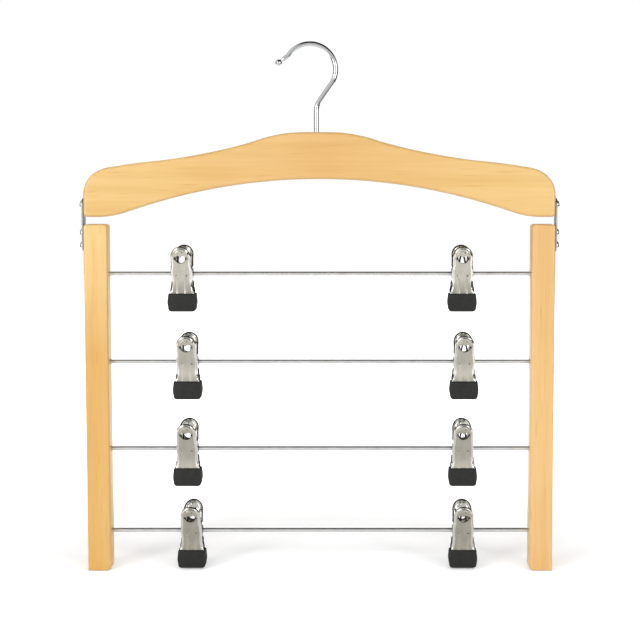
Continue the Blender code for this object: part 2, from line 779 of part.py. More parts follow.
def spring_route():
    """Points of the spring's wire: front leg down, round the rod, rear leg up."""
    lean = math.atan((HANDLE_SPREAD - PLATE_OFFSET) / HANDLE_TOP)
    radius = ROD_DIA / 2 + GAP + SPRING_WIRE / 2
    turn = math.pi - 2 * lean + 2 * math.pi * SPRING_TURNS
    half_length = SPRING_PITCH * turn / (4 * math.pi)
    steps = round(POINTS_PER_TURN * turn / (2 * math.pi))
    coil = []
    for step in range(steps + 1):
        angle = lean + turn * step / steps
        x = half_length * (2 * step / steps - 1)
        coil.append(Vector((x, -radius * math.cos(angle), -radius * math.sin(angle))))

    plate_face = (PLATE_OFFSET - SHEET / 2) * math.cos(lean)
    tip_reach = plate_face - radius - GAP
    along = Vector((0.0, -math.sin(lean), math.cos(lean)))
    outward = Vector((0.0, -math.cos(lean), -math.sin(lean)))
    leg_length = (LEG_HEIGHT - coil[0].z) / math.cos(lean)
    inward = Vector((half_length - LEG_INSET, 0.0, 0.0))
    corner = coil[0] + along * leg_length + inward
    front_leg = [corner + outward * tip_reach, corner, coil[0] + along * SPRING_WIRE]
    rear_leg = [Vector((-point.x, -point.y, point.z)) for point in reversed(front_leg)]
    return front_leg + coil + rear_leg


def least_gap(route, diameter, apart):
    """The least distance between the wire's own surfaces, on points at least some steps apart."""
    nearest = min(
        (first - second).length
        for index, first in enumerate(route)
        for second in route[index + apart :]
    )
    return nearest - diameter


def make_clips(ladder):
    """Eight clips, two on each rod, that share their meshes."""
    nest = SHEET + GAP
    front_jaw = jaw_solid("front_jaw", 0.0)
    rear_jaw = jaw_solid("rear_jaw", nest)
    front_boot = boot_solid("front_boot")
    rear_boot = boot_solid("rear_boot")
    for piece in (rear_jaw, rear_boot):
        bm = bmesh.new()
        bm.from_mesh(piece.data)
        bmesh.ops.scale(bm, vec=(-1.0, -1.0, 1.0), verts=bm.verts)
        bm.to_mesh(piece.data)
        bm.free()
    route = spring_route()
    spring = wire_object("spring", route, SPRING_WIRE, 1)
    gap = least_gap(route, SPRING_WIRE, POINTS_PER_TURN // 2)
    print(f"spring: least gap to itself {gap / MM:.2f} mm")

    pieces = (
        (front_jaw, NICKEL_SHEET),
        (rear_jaw, NICKEL_SHEET),
        (front_boot, BLACK_VINYL),
        (rear_boot, BLACK_VINYL),
        (spring, SPRING_STEEL),
    )
    for row, height, shares in zip(ROW_NAMES, ROD_HEIGHTS, CLIP_SHARES):
        for side, share in zip(("left", "right"), shares):
            clip = f"{row}_{side}"
            place = (share * BAR_INNER_X, 0.0, height - PIVOT_Z)
            axis = axis_empty(f"{clip}_clip_axis", place, ladder)
            for piece, material in pieces:
                copy = bpy.data.objects.new(f"{clip}_{piece.name}", piece.data)
                link(copy, material, axis)
    for piece, material in pieces:
        bpy.data.objects.remove(piece, do_unlink=True)


def main():
    """Build the hanger from the hook down."""
    make_hook()
    make_shoulder()
    ladder = axis_empty("ladder_axis", (WOOD_X, 0.0, PIVOT_Z))
    for name, side in (("left", -1), ("right", 1)):
        make_side_bar(name, side, ladder)
        make_strap(name, side, ladder)
        make_screws(name, side, ladder)
    make_rods(ladder)
    make_clips(ladder)


main()
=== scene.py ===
# %% [markdown]
# # A wooden clip hanger, dressed for the studio
#
# The hanger is a wooden shoulder bar on a wire hook. Two side bars hang from its ends and carry
# four plated rods, and each rod carries two sprung clips. A fixed model gives every piece its place
# and its joint. This script gives each piece the fine surface that the fixed model leaves out, then
# lights it and sets up the camera.

import functools
import json
from math import acos, asin, atan, atan2, copysign, cos, exp, hypot, pi, radians, sin, sqrt

import bmesh
import bpy
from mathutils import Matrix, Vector


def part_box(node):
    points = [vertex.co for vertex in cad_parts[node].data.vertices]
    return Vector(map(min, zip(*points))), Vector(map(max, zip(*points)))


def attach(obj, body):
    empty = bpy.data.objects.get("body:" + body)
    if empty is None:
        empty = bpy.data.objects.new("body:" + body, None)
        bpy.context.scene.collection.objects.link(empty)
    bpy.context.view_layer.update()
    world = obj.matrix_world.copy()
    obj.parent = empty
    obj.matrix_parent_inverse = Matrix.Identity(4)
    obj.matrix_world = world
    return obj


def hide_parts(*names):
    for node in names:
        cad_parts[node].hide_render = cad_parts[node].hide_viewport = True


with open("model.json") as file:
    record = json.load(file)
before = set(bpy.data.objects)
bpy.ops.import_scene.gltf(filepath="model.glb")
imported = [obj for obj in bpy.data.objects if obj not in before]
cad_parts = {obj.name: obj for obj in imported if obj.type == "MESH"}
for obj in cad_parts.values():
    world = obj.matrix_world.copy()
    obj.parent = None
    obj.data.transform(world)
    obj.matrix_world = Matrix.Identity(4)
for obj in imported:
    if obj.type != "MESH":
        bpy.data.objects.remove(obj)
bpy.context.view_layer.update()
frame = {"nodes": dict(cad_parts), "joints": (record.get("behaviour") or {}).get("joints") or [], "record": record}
MM = 0.001
print("nodes in the fixed model:", len(frame["nodes"]))

# %% [markdown]
# ## Places to build on
#
# Every new piece goes where the fixed model has the one that it stands for. The boxes of a few
# nodes and the axes of the clips' joints give all the places that the pieces below need.

# %% Places of the wood, the rods and the clips
ROWS = (1, 2, 3, 4)
SIDES = (("left", -1), ("right", 1))


def box(node):
    """Lowest and highest corner of a node's box."""
    low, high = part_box(node)
    return Vector(low), Vector(high)


def middle_of(node):
    """Middle of a node's box."""
    low, high = box(node)
    return (low + high) / 2


wood_low, wood_high = box("shoulder_bar")
WOOD_X = (wood_low.x + wood_high.x) / 2
HALF_WIDTH = (wood_high.x - wood_low.x) / 2
HUMP_TOP, FOOT_Z = wood_high.z, wood_low.z
CLIPS = {}
for joint in frame["joints"]:
    clip, _, motion = joint["name"].rpartition("_")
    if clip.startswith("row") and motion == "swing":
        CLIPS[clip] = Vector(joint["pos_m"])
print("wood middle", round(WOOD_X / MM, 2), "mm, half width", round(HALF_WIDTH / MM, 2), "mm")
print("clips:", {name: [round(part / MM, 1) for part in place] for name, place in CLIPS.items()})

# %% [markdown]
# ## Camera
#
# The hanger was photographed from in front. The rear handles show above the front ones, more so in
# each lower row, so the camera stood a little below the hook. They also show more on the side
# toward the middle, and most on the left, so it stood 33 mm to the right, about 1 m away with a
# lens of about 70 mm. The bars stay upright and the rods level in the picture, so a shift of the
# lens takes the place of the turn and part of the tilt.

# %% Set up the camera
CAMERA_X = 40 * MM
CAMERA_HEIGHT = -82 * MM
CAMERA_DISTANCE = 1015 * MM
PICTURE_MIDDLE_X = 7.3 * MM
PICTURE_MIDDLE_Z = -215.1 * MM
PICTURE_WIDTH = 506.9 * MM
RISE_SHIFT = -0.12


def put(name, data):
    """Put a mesh, a lamp or a camera into the scene as an object."""
    made = bpy.data.objects.new(name, data)
    bpy.context.scene.collection.objects.link(made)
    return made


def photograph_camera():
    """Aim a camera so that the two PICTURE_MIDDLE values fall on the middle of the picture."""
    drop = CAMERA_HEIGHT - PICTURE_MIDDLE_Z
    aim = atan2(drop, CAMERA_DISTANCE)
    reach = hypot(drop, CAMERA_DISTANCE)
    tilt = aim + asin(RISE_SHIFT * PICTURE_WIDTH / reach)
    data = bpy.data.cameras.new("studio_camera")
    data.shift_x = (PICTURE_MIDDLE_X - CAMERA_X) / PICTURE_WIDTH
    data.shift_y = RISE_SHIFT
    data.lens = data.sensor_width * reach * cos(aim - tilt) / PICTURE_WIDTH
    camera = put("studio_camera", data)
    camera.location = (CAMERA_X, -CAMERA_DISTANCE, CAMERA_HEIGHT)
    camera.rotation_euler = (pi / 2 - tilt, 0.0, 0.0)
    bpy.context.scene.camera = camera
    return data


optics = photograph_camera()
print("lens", round(optics.lens, 1), "mm, shifted sideways by", round(optics.shift_x, 3))

# %% [markdown]
# ## Colours
#
# A colour picked on a screen is an sRGB value, and a shader works in linear light. One
# function turns one into the other, so every colour below is written as it should look.

# %% Hex to linear colour
def linear(hex_value):
    """Linear RGBA of an sRGB hex colour."""
    channels = []
    for start in (1, 3, 5):
        share = int(hex_value[start : start + 2], 16) / 255
        channels.append(share / 12.92 if share <= 0.04045 else ((share + 0.055) / 1.055) ** 2.4)
    return (*channels, 1.0)


print("pale wood in linear light:", [round(part, 3) for part in linear("#F3C784")])

# %% [markdown]
# ## Helpers for node materials
#
# A node tree is easy to follow when each node is one call that names its settings, in small
# letters, and its inputs, with a capital. An input that is given a socket is linked, and any other
# one is set. A colour ramp's stops come first, as pairs of a position and a hex colour.
#
# On a real finish, gloss and fine relief change together from place to place, because both come
# from the same pits and fibres. One function adds that ending to each finish.

# %% One function that adds a node
def add_node(tree, kind, stops=(), **values):
    """Add a node and return its first output in use; an input called i4 is the fifth one."""
    made = tree.nodes.new("ShaderNode" + kind)
    for index, (position, colour) in enumerate(stops):
        elements = made.color_ramp.elements
        element = elements[index] if index < len(elements) else elements.new(position)
        element.position = position
        element.color = linear(colour)
    for name, value in values.items():
        if name[0].islower() and not name[1:].isdigit():
            setattr(made, name, value)
            continue
        socket = made.inputs[int(name[1:]) if name[0] == "i" else name.replace("_", " ")]
        if isinstance(value, bpy.types.NodeSocket):
            tree.links.new(value, socket)
        else:
            socket.default_value = value
    return next((socket for socket in made.outputs if socket.enabled), made)


def empty_tree(owner):
    """The function that adds a node to the tree of a new material or world."""
    owner.use_nodes = True
    owner.node_tree.nodes.clear()
    return functools.partial(add_node, owner.node_tree)


def material_of(name, build, *choices):
    """A material whose surface is what build adds, from the place on the piece and any choices."""
    material = bpy.data.materials.new(name)
    add = empty_tree(material)
    place = add("TexCoord").node.outputs["Object"]
    add("OutputMaterial", Surface=build(add, place, *choices))
    return material


def worn(add, colour, pattern, roughness, strength, depth, zone=(0.0, 1.0), **values):
    """A shader whose roughness runs between two values as its relief rises with a pattern."""
    (least, most), (start, end) = roughness, zone
    gloss = add("MapRange", Value=pattern, From_Min=start, From_Max=end, To_Min=least, To_Max=most)
    relief = add("Bump", Strength=strength, Distance=depth * MM, Height=pattern)
    return add("BsdfPrincipled", Base_Color=colour, Roughness=gloss, Normal=relief, **values)


def mixed(add, blend, factor, below, above):
    """One colour laid over another."""
    return add("Mix", data_type="RGBA", blend_type=blend, Factor=factor, i6=below, i7=above)


print("helpers ready")

# %% Mesh from a bmesh
def to_mesh(name, bm, finishes=(), crease_degrees=None, open_sheet=False):
    """Turn a bmesh into a mesh with its finishes, shaded smooth if it has a crease angle."""
    if not open_sheet:
        bmesh.ops.recalc_face_normals(bm, faces=bm.faces)
    mesh = bpy.data.meshes.new(name)
    bm.to_mesh(mesh)
    bm.free()
    for finish in finishes:
        mesh.materials.append(finish)
    if crease_degrees:
        mesh.shade_smooth()
        mesh.set_sharp_from_angle(angle=radians(crease_degrees))
    return mesh


def spread(start, end, steps):
    """Evenly spread values from a start to an end."""
    return [start + (end - start) * step / steps for step in range(steps + 1)]


print("halves of a whole:", spread(0, 1, 2))

# %% [markdown]
# ## Paper floor
#
# The sheet of white paper looks pure white and still shows the soft grey shadow behind the feet. So
# it is matt and lit like the hanger, and rays from the camera and from gloss see a little light
# added, which grows with the distance, so the sheet melts into the white room. It is one-sided, so
# a view from below isn't blocked.

# %% Sheet of white paper
# half outline seen from above, in mm: narrow in front, so the hook mirrors the dark card beside it
PAPER_CORNERS = ((350, -450), (900, 200), (900, 2500))
PAPER_TONES = ((0.3, "#EDEDED"), (0.7, "#F0F0F0"))
PAPER_LIFT = 0.26
LIFT_ZONE = (3.0, 7.5, 0.0)
LIFT_NEAR, LIFT_FAR = 0.13, 0.6
PAPER_Z = box("side_bar_right")[0].z - 0.4 * MM


def white_paper(add, place):
    """Matt white paper with a faint tooth, lifted to white for the camera and for gloss."""
    tooth = add("TexNoise", Vector=place, Scale=1 / (2 * MM), Detail=3.0)
    matt = add("BsdfDiffuse", Color=add("ValToRGB", PAPER_TONES, Fac=tooth), Roughness=1.0)
    ray = add("LightPath").node.outputs
    seen = ray["Is Camera Ray"]
    for other in ("Is Glossy Ray", "Is Transmission Ray"):
        seen = add("Math", operation="MAXIMUM", i0=seen, i1=ray[other])
    square = add("VectorMath", operation="MULTIPLY", i0=place, i1=place)
    zone = add("VectorMath", operation="MULTIPLY", i0=square, i1=LIFT_ZONE)
    away = add("VectorMath", operation="LENGTH", i0=zone)
    level = add("MapRange", Value=away, From_Min=LIFT_NEAR, From_Max=LIFT_FAR, To_Min=PAPER_LIFT)
    glow = add("Math", operation="MULTIPLY", i0=seen, i1=level)
    both = add("AddShader", i0=matt, i1=add("Emission", Strength=glow))
    under = add("NewGeometry").node.outputs["Backfacing"]
    return add("MixShader", Fac=under, i1=both, i2=add("BsdfTransparent"))


paper = bmesh.new()
corners = [*PAPER_CORNERS, *((-x, y) for x, y in reversed(PAPER_CORNERS))]
paper.faces.new([paper.verts.new((x * MM, y * MM, PAPER_Z)) for x, y in corners])
finish = material_of("matt_white_paper", white_paper)
put("paper_floor", to_mesh("paper_floor", paper, [finish], open_sheet=True))
print("paper lies at", round(PAPER_Z / MM, 1), "mm")

# %% [markdown]
# ## Studio light
#
# A long key lamp in front, above the hanger, lights the faces that the camera sees and throws the
# shadow behind the feet. A lamp behind keeps the back from going dull, and a pale world fills the
# rest, so a colour renders about as it is written.
#
# Bright metal shows its surroundings more than its own colour. So for reflections the world is a
# studio: white in front and below, dark at the sides, paler grey behind the camera, and a ceiling
# that darkens overhead. A pale panel high on the left and a dark card low on the right draw the
# light and dark lines along the hook, and two softboxes beside the camera the light rims of the
# clips. The other two lamps aren't mirrored: their sharp images would flicker along the thin wire.

# %% World
FILL_LEVEL = 0.36
PANEL_LEVEL = 1.3
# Each row, a part of the mirrored studio: blend, way to it, tones from behind to straight at it.
CEILING = ((0.5, "#FFFFFF"), (0.66, "#F0F0F0"), (0.72, "#6A6A6A"), (0.78, "#202020"))
FRONT_WALL = ((0.0, "#C4C4C4"), (0.05, "#C4C4C4"), (0.12, "#E4E4E4"), (0.3, "#E4E4E4"))
SIDE_WALLS = ((0.48, "#9A9A9A"), (0.6, "#404040"), (0.965, "#404040"), (0.995, "#E0E0E0"))
STUDIO = (
    ("DARKEN", (0.0, 0.2, 0.98), CEILING),
    ("DARKEN", (0.0, 1.0, 0.0), FRONT_WALL + SIDE_WALLS),
    ("LIGHTEN", (-0.8, -0.2, 0.57), ((0.9, "#000000"), (0.95, "#F0F0F0"))),
    ("DARKEN", (0.8, -0.35, -0.48), ((0.9, "#FFFFFF"), (0.95, "#303030"))),
)


def light_world():
    """White for the camera, a studio with dark sides and ceiling for gloss, else an even fill."""
    world = bpy.data.worlds.new("studio_room")
    add = empty_tree(world)
    toward = add("TexCoord").node.outputs["Generated"]
    room = None
    for blend, axis, tones in STUDIO:
        along = add("VectorMath", operation="DOT_PRODUCT", i0=toward, i1=axis)
        share = add("MapRange", Value=along, From_Min=-1.0)
        part = add("ValToRGB", tones, Fac=share)
        room = mixed(add, blend, 1.0, room, part) if room else part
    ray = add("LightPath").node.outputs
    seen = add("Math", operation="MAXIMUM", i0=ray["Is Camera Ray"], i1=ray["Is Transmission Ray"])
    fill = add("Background", Color=linear("#F4F6F8"), Strength=FILL_LEVEL)
    studio = add("Background", Color=room, Strength=PANEL_LEVEL)
    white = add("Background", Color=linear("#FFFFFF"))
    gloss = add("MixShader", Fac=ray["Is Glossy Ray"], i1=fill, i2=studio)
    clear = add("MixShader", Fac=seen, i1=gloss, i2=white)
    add("OutputWorld", Surface=clear)
    bpy.context.scene.world = world


light_world()
print("fill level", FILL_LEVEL)

# %% Lamps
# Each row: name, place and size in mm, power, and whether gloss mirrors it.
LAMPS = (
    ("key_lamp", (-150, -1600, 600), (2400, 450), 13.0, False),
    ("left_softbox", (-1250, -1350, 50), (600, 900), 9.0, True),
    ("right_softbox", (1250, -1350, 50), (600, 900), 8.0, True),
    ("back_lamp", (200, 1300, 900), (900, 700), 11.0, False),
)
LAMP_TARGET = Vector((0, 0, -230))
for name, place, (width, height), power, mirrored in LAMPS:
    light = bpy.data.lights.new(name, "AREA")
    light.shape = "RECTANGLE"
    light.size, light.size_y = width * MM, height * MM
    light.energy = power
    lamp = put(name, light)
    lamp.location = Vector(place) * MM
    toward = (LAMP_TARGET - Vector(place)).normalized()
    lamp.rotation_euler = toward.to_track_quat("-Z", "Y").to_euler()
    lamp.visible_glossy = mirrored
bpy.context.scene.view_settings.view_transform = "Standard"
print("lamps:", [values[0] for values in LAMPS])

# %% [markdown]
# ## Clear-lacquered pale hardwood
#
# The bars are a pale, even hardwood of the schima or maple kind, sawn along the grain, sanded, and
# sprayed with clear lacquer. The eye sees a honey colour, faint wide bands from the growth rings,
# fine darker fibres a few centimetres long, and a soft sheen. The pattern is stretched along the
# grain of each piece. Each also turns slowly in tone: the shoulder is deepest in its middle. The
# left bar is palest at its top, which is painted light.

# %% Lacquered wood
RING_SPACING = 5 * MM
FIBRE_WIDTH = 0.6 * MM  # real fibres are finer; this is as fine as still shows
FLECK_WIDTH = 0.9 * MM
PATCH_WIDTH = 70 * MM
GRAIN_STRETCH = 30.0
FIGURE = 0.42  # strength of fibres, flecks and patches
WHITE = "#FFFFFF"
# Each row: axis of the grain, seed, three ground tones; middle and reach of the turn of tone, and
# the tones there and beyond. On the left bar this turn is painted light, paler at its top.
WOODS = {
    "shoulder": (0, 1.7, "#F0C57C #F6CE86 #FAD38F", (0.007, 0.0, -0.09), 0.17, "#F5EBE1", WHITE),
    # the left bar's paler top is painted light
    "left_bar": (2, 4.3, "#FCD790 #FFDB97 #FFDF9E", (-0.17, 0.0, -0.15), 0.09, WHITE, "#EDDBBB"),
    "right_bar": (2, 8.9, "#F3C782 #F7CC8B #F9D093", (0.18, 0.0, -0.3), 0.2, WHITE, "#FBF6F0"),
}


def lacquered_hardwood(add, place, grain_axis, seed, tones, centre, reach, near_tone, far_tone):
    """Pale hardwood under clear lacquer, from its row of WOODS."""
    low, middle, high = tones.split()
    squeeze = [1.0, 1.0, 1.0]
    squeeze[grain_axis] = 1 / GRAIN_STRETCH
    along = add("Mapping", Vector=place, Scale=squeeze, Location=(seed, seed, seed))
    rings = add("TexNoise", Vector=along, Scale=1 / RING_SPACING / 3, Detail=3.0, Distortion=0.4)
    fibres = add("TexNoise", Vector=along, Scale=1 / FIBRE_WIDTH / 3, Detail=4.0)
    flecks = add("TexNoise", Vector=along, Scale=1 / FLECK_WIDTH, Detail=1.0)
    patches = add("TexNoise", Vector=place, Scale=1 / PATCH_WIDTH, Detail=2.0)
    # the slow turn of tone; on the left bar it is painted light, paler at its top
    apart = add("VectorMath", operation="DISTANCE", i0=place, i1=centre)
    turned = add("MapRange", Value=apart, From_Max=reach)
    ground = ((0.32, low), (0.47, middle), (0.6, high), (0.75, middle))
    colour = add("ValToRGB", ground, Fac=rings)
    shades = (
        (FIGURE, fibres, (0.3, "#F6EDDF"), (0.6, WHITE)),
        (FIGURE, flecks, (0.24, "#E8D2B4"), (0.33, WHITE)),
        (FIGURE, patches, (0.3, "#F7EEE0"), (0.7, WHITE)),
        (1.0, turned, (0.0, near_tone), (1.0, far_tone)),
    )
    for strength, pattern, *stops in shades:
        colour = mixed(add, "MULTIPLY", strength, colour, add("ValToRGB", stops, Fac=pattern))
    lacquer = {"IOR": 1.5, "Coat_Weight": 0.2, "Coat_Roughness": 0.25}
    return worn(add, colour, fibres, (0.32, 0.44), 0.1, 0.1, **lacquer)


SHOULDER_WOOD, LEFT_WOOD, RIGHT_WOOD = (
    material_of(f"lacquered_hardwood_{piece}", lacquered_hardwood, *row)
    for piece, row in WOODS.items()
)
print("wood fibres drawn", FIBRE_WIDTH / MM, "mm wide and", GRAIN_STRETCH, "times as long")

# %% [markdown]
# ## Plated metals
#
# The hook and the rods are drawn steel wire with bright chrome plate, which is almost a mirror. The
# clip jaws are pressed from sheet and nickel-plated in a barrel, which is warmer and softer, with
# small marks from rubbing. The springs are bare drawn wire, and the screws have zinc plate. A
# metal's colour is its reflection, so each keeps the default IOR and differs in colour, gloss and
# unevenness.

# %% Plated metals
# Each row: tint, darker tint, least and most roughness, size and depth of the marks in mm.
METALS = {
    # a bright mirror, hardly marked
    "chrome_plated_wire": ("#CBCCCD", "#C3C4C6", 0.03, 0.08, 1.2, 0.002),
    # drawn and plated in long lengths, softer than the hook; its tint is lighter than the hook's chrome, painted
    # light that brightens the rods
    "chrome_plated_rod": ("#DEDEDD", "#D2D2D1", 0.38, 0.48, 0.8, 0.004),
    # warm satin grey with rubbed patches
    "barrel_nickel_plated_sheet": ("#BCB8AD", "#B2AEA4", 0.28, 0.38, 0.7, 0.012),
    # smoother at the bends and inside, and painted a lighter tint there, a painted highlight
    "smooth_nickel_sheet_painted_bright": ("#DAD8D3", "#CCCAC4", 0.10, 0.18, 0.9, 0.01),
    # dark torn steel of the cut edges, with little plate on it, also laid as painted shade on the flanges, the
    # pits and the hole's turned-in lip
    "sheared_edge_and_painted_shade": ("#3E3B37", "#2C2A27", 0.4, 0.6, 0.3, 0.03),
    # nearly black, from drawing and heat
    "hard_drawn_spring_wire": ("#33312E", "#282624", 0.20, 0.34, 0.5, 0.01),
    # bright bluish grey
    "bright_zinc_plated_screw": ("#D6D7D8", "#C6C7C8", 0.16, 0.28, 0.9, 0.01),
    # the same plate on rolled strip, which stays dull
    "zinc_plated_rolled_strip": ("#BDBDBE", "#A9AAAC", 0.34, 0.48, 0.9, 0.02),
}
CLOUD_SIZE = 9  # times the size of the marks


def plated_metal(add, place, tint, dark_tint, least, most, mark_size, mark_depth):
    """A metal whose gloss varies over marks of one real size, and its tint over wider clouds."""
    marks = add("TexNoise", Vector=place, Scale=1 / (mark_size * MM), Detail=4.0)
    wide = CLOUD_SIZE * mark_size * MM
    clouds = add("TexNoise", Vector=place, Scale=1 / wide, Detail=2.0)
    colour = add("ValToRGB", ((0.3, dark_tint), (0.65, tint)), Fac=clouds)
    return worn(add, colour, marks, (least, most), 0.15, mark_depth, (0.3, 0.7), Metallic=1.0)


CHROMED_WIRE, CHROMED_ROD, NICKEL_SHEET, BRIGHTENED_NICKEL, CUT_EDGE_AND_SHADE, *OTHERS = (
    material_of(name, plated_metal, *row) for name, row in METALS.items()
)
SPRING_STEEL, ZINC_PLATE, ZINC_STRIP = OTHERS
print("metals:", list(METALS))

# %% [markdown]
# ## Dipped vinyl boots
#
# The jaw tips are dipped in liquid PVC, which cures to a soft, slightly uneven skin. It reads as a
# charcoal black with a dull, broad highlight, finely pebbled where bubbles closed in the oven.

# %% Dipped vinyl
PEBBLE_SIZE = 0.5 * MM
CHARCOALS = ((0.3, "#1F201D"), (0.7, "#262725"))


def dipped_vinyl(add, place):
    """Charcoal PVC skin, dull and very finely pebbled."""
    pebbles = add("TexNoise", Vector=place, Scale=1 / PEBBLE_SIZE, Detail=3.0)
    clouds = add("TexNoise", Vector=place, Scale=1 / (10 * PEBBLE_SIZE), Detail=2.0)
    colour = add("ValToRGB", CHARCOALS, Fac=clouds)
    skin = {"IOR": 1.53, "Specular_IOR_Level": 0.3}
    return worn(add, colour, pebbles, (0.5, 0.66), 0.25, 0.05, **skin)


BLACK_VINYL = material_of("dipped_vinyl", dipped_vinyl)
print("vinyl:", BLACK_VINYL.name)

# %% [markdown]
# ## Turning points into pieces
#
# Most pieces are one of three forms: a board with rounded edges, a wire swept along a route, or a
# profile turned about an axis. Each has a small function that adds its faces to a bmesh. A last one
# makes the bmesh an object that stands for a node of the fixed model and rides with its body.

# %% Piece from a bmesh
record = frame["record"]
HOMES = {node: body for body, nodes in record["behaviour"]["bodies"].items() for node in nodes}


def stand_in(name, mesh, node, body=None):
    """Place a mesh as the piece that replaces a node, on the node's body unless one is named."""
    piece = put(name, mesh)
    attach(piece, body or HOMES[node])
    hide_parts(node)
    return piece


def as_piece(name, bm, finish, node, crease_degrees=35):
    """Make an object of a bmesh that stands for a node and rides with the node's body."""
    return stand_in(name, to_mesh(name, bm, [finish], crease_degrees), node)


print("bodies:", len(set(HOMES.values())))


# %% Skin over rings of points, and a board with rounded edges
LONGEST_MITRE = 0.4


def skin(bm, rings, capped=True):
    """Join a row of equal rings of vertices with faces, and close both ends."""
    for near, far in zip(rings, rings[1:]):
        for index in range(len(near)):
            follow = (index + 1) % len(near)
            bm.faces.new((near[index], near[follow], far[follow], far[index]))
    if capped:
        bm.faces.new(rings[0][::-1])
        bm.faces.new(rings[-1])


def add_board(bm, outline, low, high, edge_round, steps=4, place=lambda u, v, w: (u, w, v)):
    """Add a slab of an outline (u, v) from depth low to high, with every edge rounded."""
    corners = [Vector(point) for point in outline]
    after = corners[1:] + corners[:1]
    turn = copysign(1, sum(a.x * b.y - b.x * a.y for a, b in zip(corners, after)))
    sides = [(b - a).normalized() for a, b in zip(corners, after)]
    normals = [turn * Vector((-side.y, side.x)) for side in sides]
    inward = []
    for first, second in zip(normals[-1:] + normals, normals):
        inward.append((first + second) / max(LONGEST_MITRE, 1 + first.dot(second)))
    rings = []
    for end, side in ((low, 1), (high, -1)):
        for angle in spread(0, pi / 2, steps)[::-side]:
            inset = edge_round * (1 - cos(angle))
            depth = end + side * edge_round * (1 - sin(angle))
            spots = [corner + inset * way for corner, way in zip(corners, inward)]
            rings.append([bm.verts.new(place(spot.x, spot.y, depth)) for spot in spots])
    skin(bm, rings)


def fillet(before, corner, after, steps=8):
    """Points of a smooth round from one point to another, pulled toward their corner."""
    before, corner, after = Vector(before), Vector(corner), Vector(after)
    ways = [(before.lerp(corner, t), corner.lerp(after, t), t) for t in spread(0, 1, steps)]
    return [near.lerp(far, t) for near, far, t in ways]


def through(anchors, steps=8):
    """Smooth curve through anchor points."""
    anchors = [Vector(anchor) for anchor in anchors]
    padded = [2 * anchors[0] - anchors[1], *anchors, 2 * anchors[-1] - anchors[-2]]
    points = []
    for a, b, c, d in zip(padded, padded[1:], padded[2:], padded[3:]):
        for t in spread(0, 1, steps)[:-1]:
            bent = (2 * a - 5 * b + 4 * c - d) * t**2 + (3 * b - a - 3 * c + d) * t**3
            points.append(0.5 * (2 * b + (c - a) * t + bent))
    return [*points, anchors[-1]]


print("a round of 9 points:", len(fillet((0, 0), (1, 0), (1, 1))))


# %% Wire swept along a route, and a turned form
def ring_round(bm, middle, radius, across, other, sides):
    """Vertices in a circle round a middle, in the plane of two directions."""
    ring = []
    for angle in spread(0, 2 * pi, sides)[:-1]:
        outward = cos(angle) * across + sin(angle) * other
        ring.append(bm.verts.new(middle + radius * outward))
    return ring


def add_wire(bm, route, radii, sides=20):
    """Add a round wire along a route, with a radius for each of its points."""
    ways = [(b - a).normalized() for a, b in zip([route[0], *route], [*route[1:], route[-1]])]
    start = Vector((0, 0, 1)) if abs(ways[0].z) < 0.9 else Vector((0, 1, 0))
    across = ways[0].cross(start).normalized()
    rings = []
    for point, way, radius in zip(route, ways, radii):
        across = (across - way * across.dot(way)).normalized()
        rings.append(ring_round(bm, point, radius, across, way.cross(across), sides))
    skin(bm, rings)


def add_turned(bm, profile, centre, axis, sides=40, closed=False):
    """Add a form turned about an axis from a profile of pairs (radius, height)."""
    axis = Vector(axis).normalized()
    across = axis.orthogonal().normalized()
    other = axis.cross(across)
    rings = []
    for radius, height in profile:
        rings.append(ring_round(bm, Vector(centre) + axis * height, radius, across, other, sides))
    skin(bm, [*rings, rings[0]] if closed else rings, not closed)


print("form helpers ready")


# %% Change a form with a modifier on throwaway copies
def changed(objects, kind, **settings):
    """The first of some throwaway objects as a bmesh after one modifier; all are deleted."""
    modifier = objects[0].modifiers.new("change", kind)
    for name, value in settings.items():
        setattr(modifier, name, value)
    view_layer = bpy.context.evaluated_depsgraph_get()
    result = bmesh.new()
    result.from_mesh(objects[0].evaluated_get(view_layer).to_mesh())
    for mesh in [obj.data for obj in objects]:
        bpy.data.meshes.remove(mesh)
    return result


def cut_out(bm, tool):
    """Cut one bmesh out of another and return the result."""
    body, cutter = (put("shape", to_mesh("shape", shape)) for shape in (bm, tool))
    cut = {"object": cutter, "operation": "DIFFERENCE", "solver": "EXACT"}
    return changed((body, cutter), "BOOLEAN", **cut)


print("no modifier stays on a piece")

# %% [markdown]
# ## Shoulder bar
#
# The bar is sawn from flat board: a raised hump over the hook, two long slopes, ends with a large
# upper round and a short flat foot, and a shallow arch below. A router takes off all its edges. The
# bore for the hook and its wider seat under the arch are cut in, because they show from below.

# %% Sizes and outline of the shoulder bar
HOOK_X = 4.8 * MM
# share of the way from the hook to the end, and share of the slope's drop
SLOPE_SHARES = (
    (0.0, 0.0), (0.11, 0.02), (0.2, 0.127), (0.3, 0.335),
    (0.42, 0.54), (0.6, 0.77), (0.77, 0.906), (0.86, 1.0),
)
SLOPE_DROP = 26.6 * MM
END_CORNER_DROP = 2.4 * MM
END_TOP_DROP = 51.0 * MM
UNDER_ARCH_Z = HUMP_TOP - 36.6 * MM
ARCH_HALF = 0.87 * HALF_WIDTH
ARCH_BLEND = 12.0 * MM
ARCH_STEPS = 60
END_CORNER = 3.7 * MM
ROUTED_EDGE = 2.6 * MM


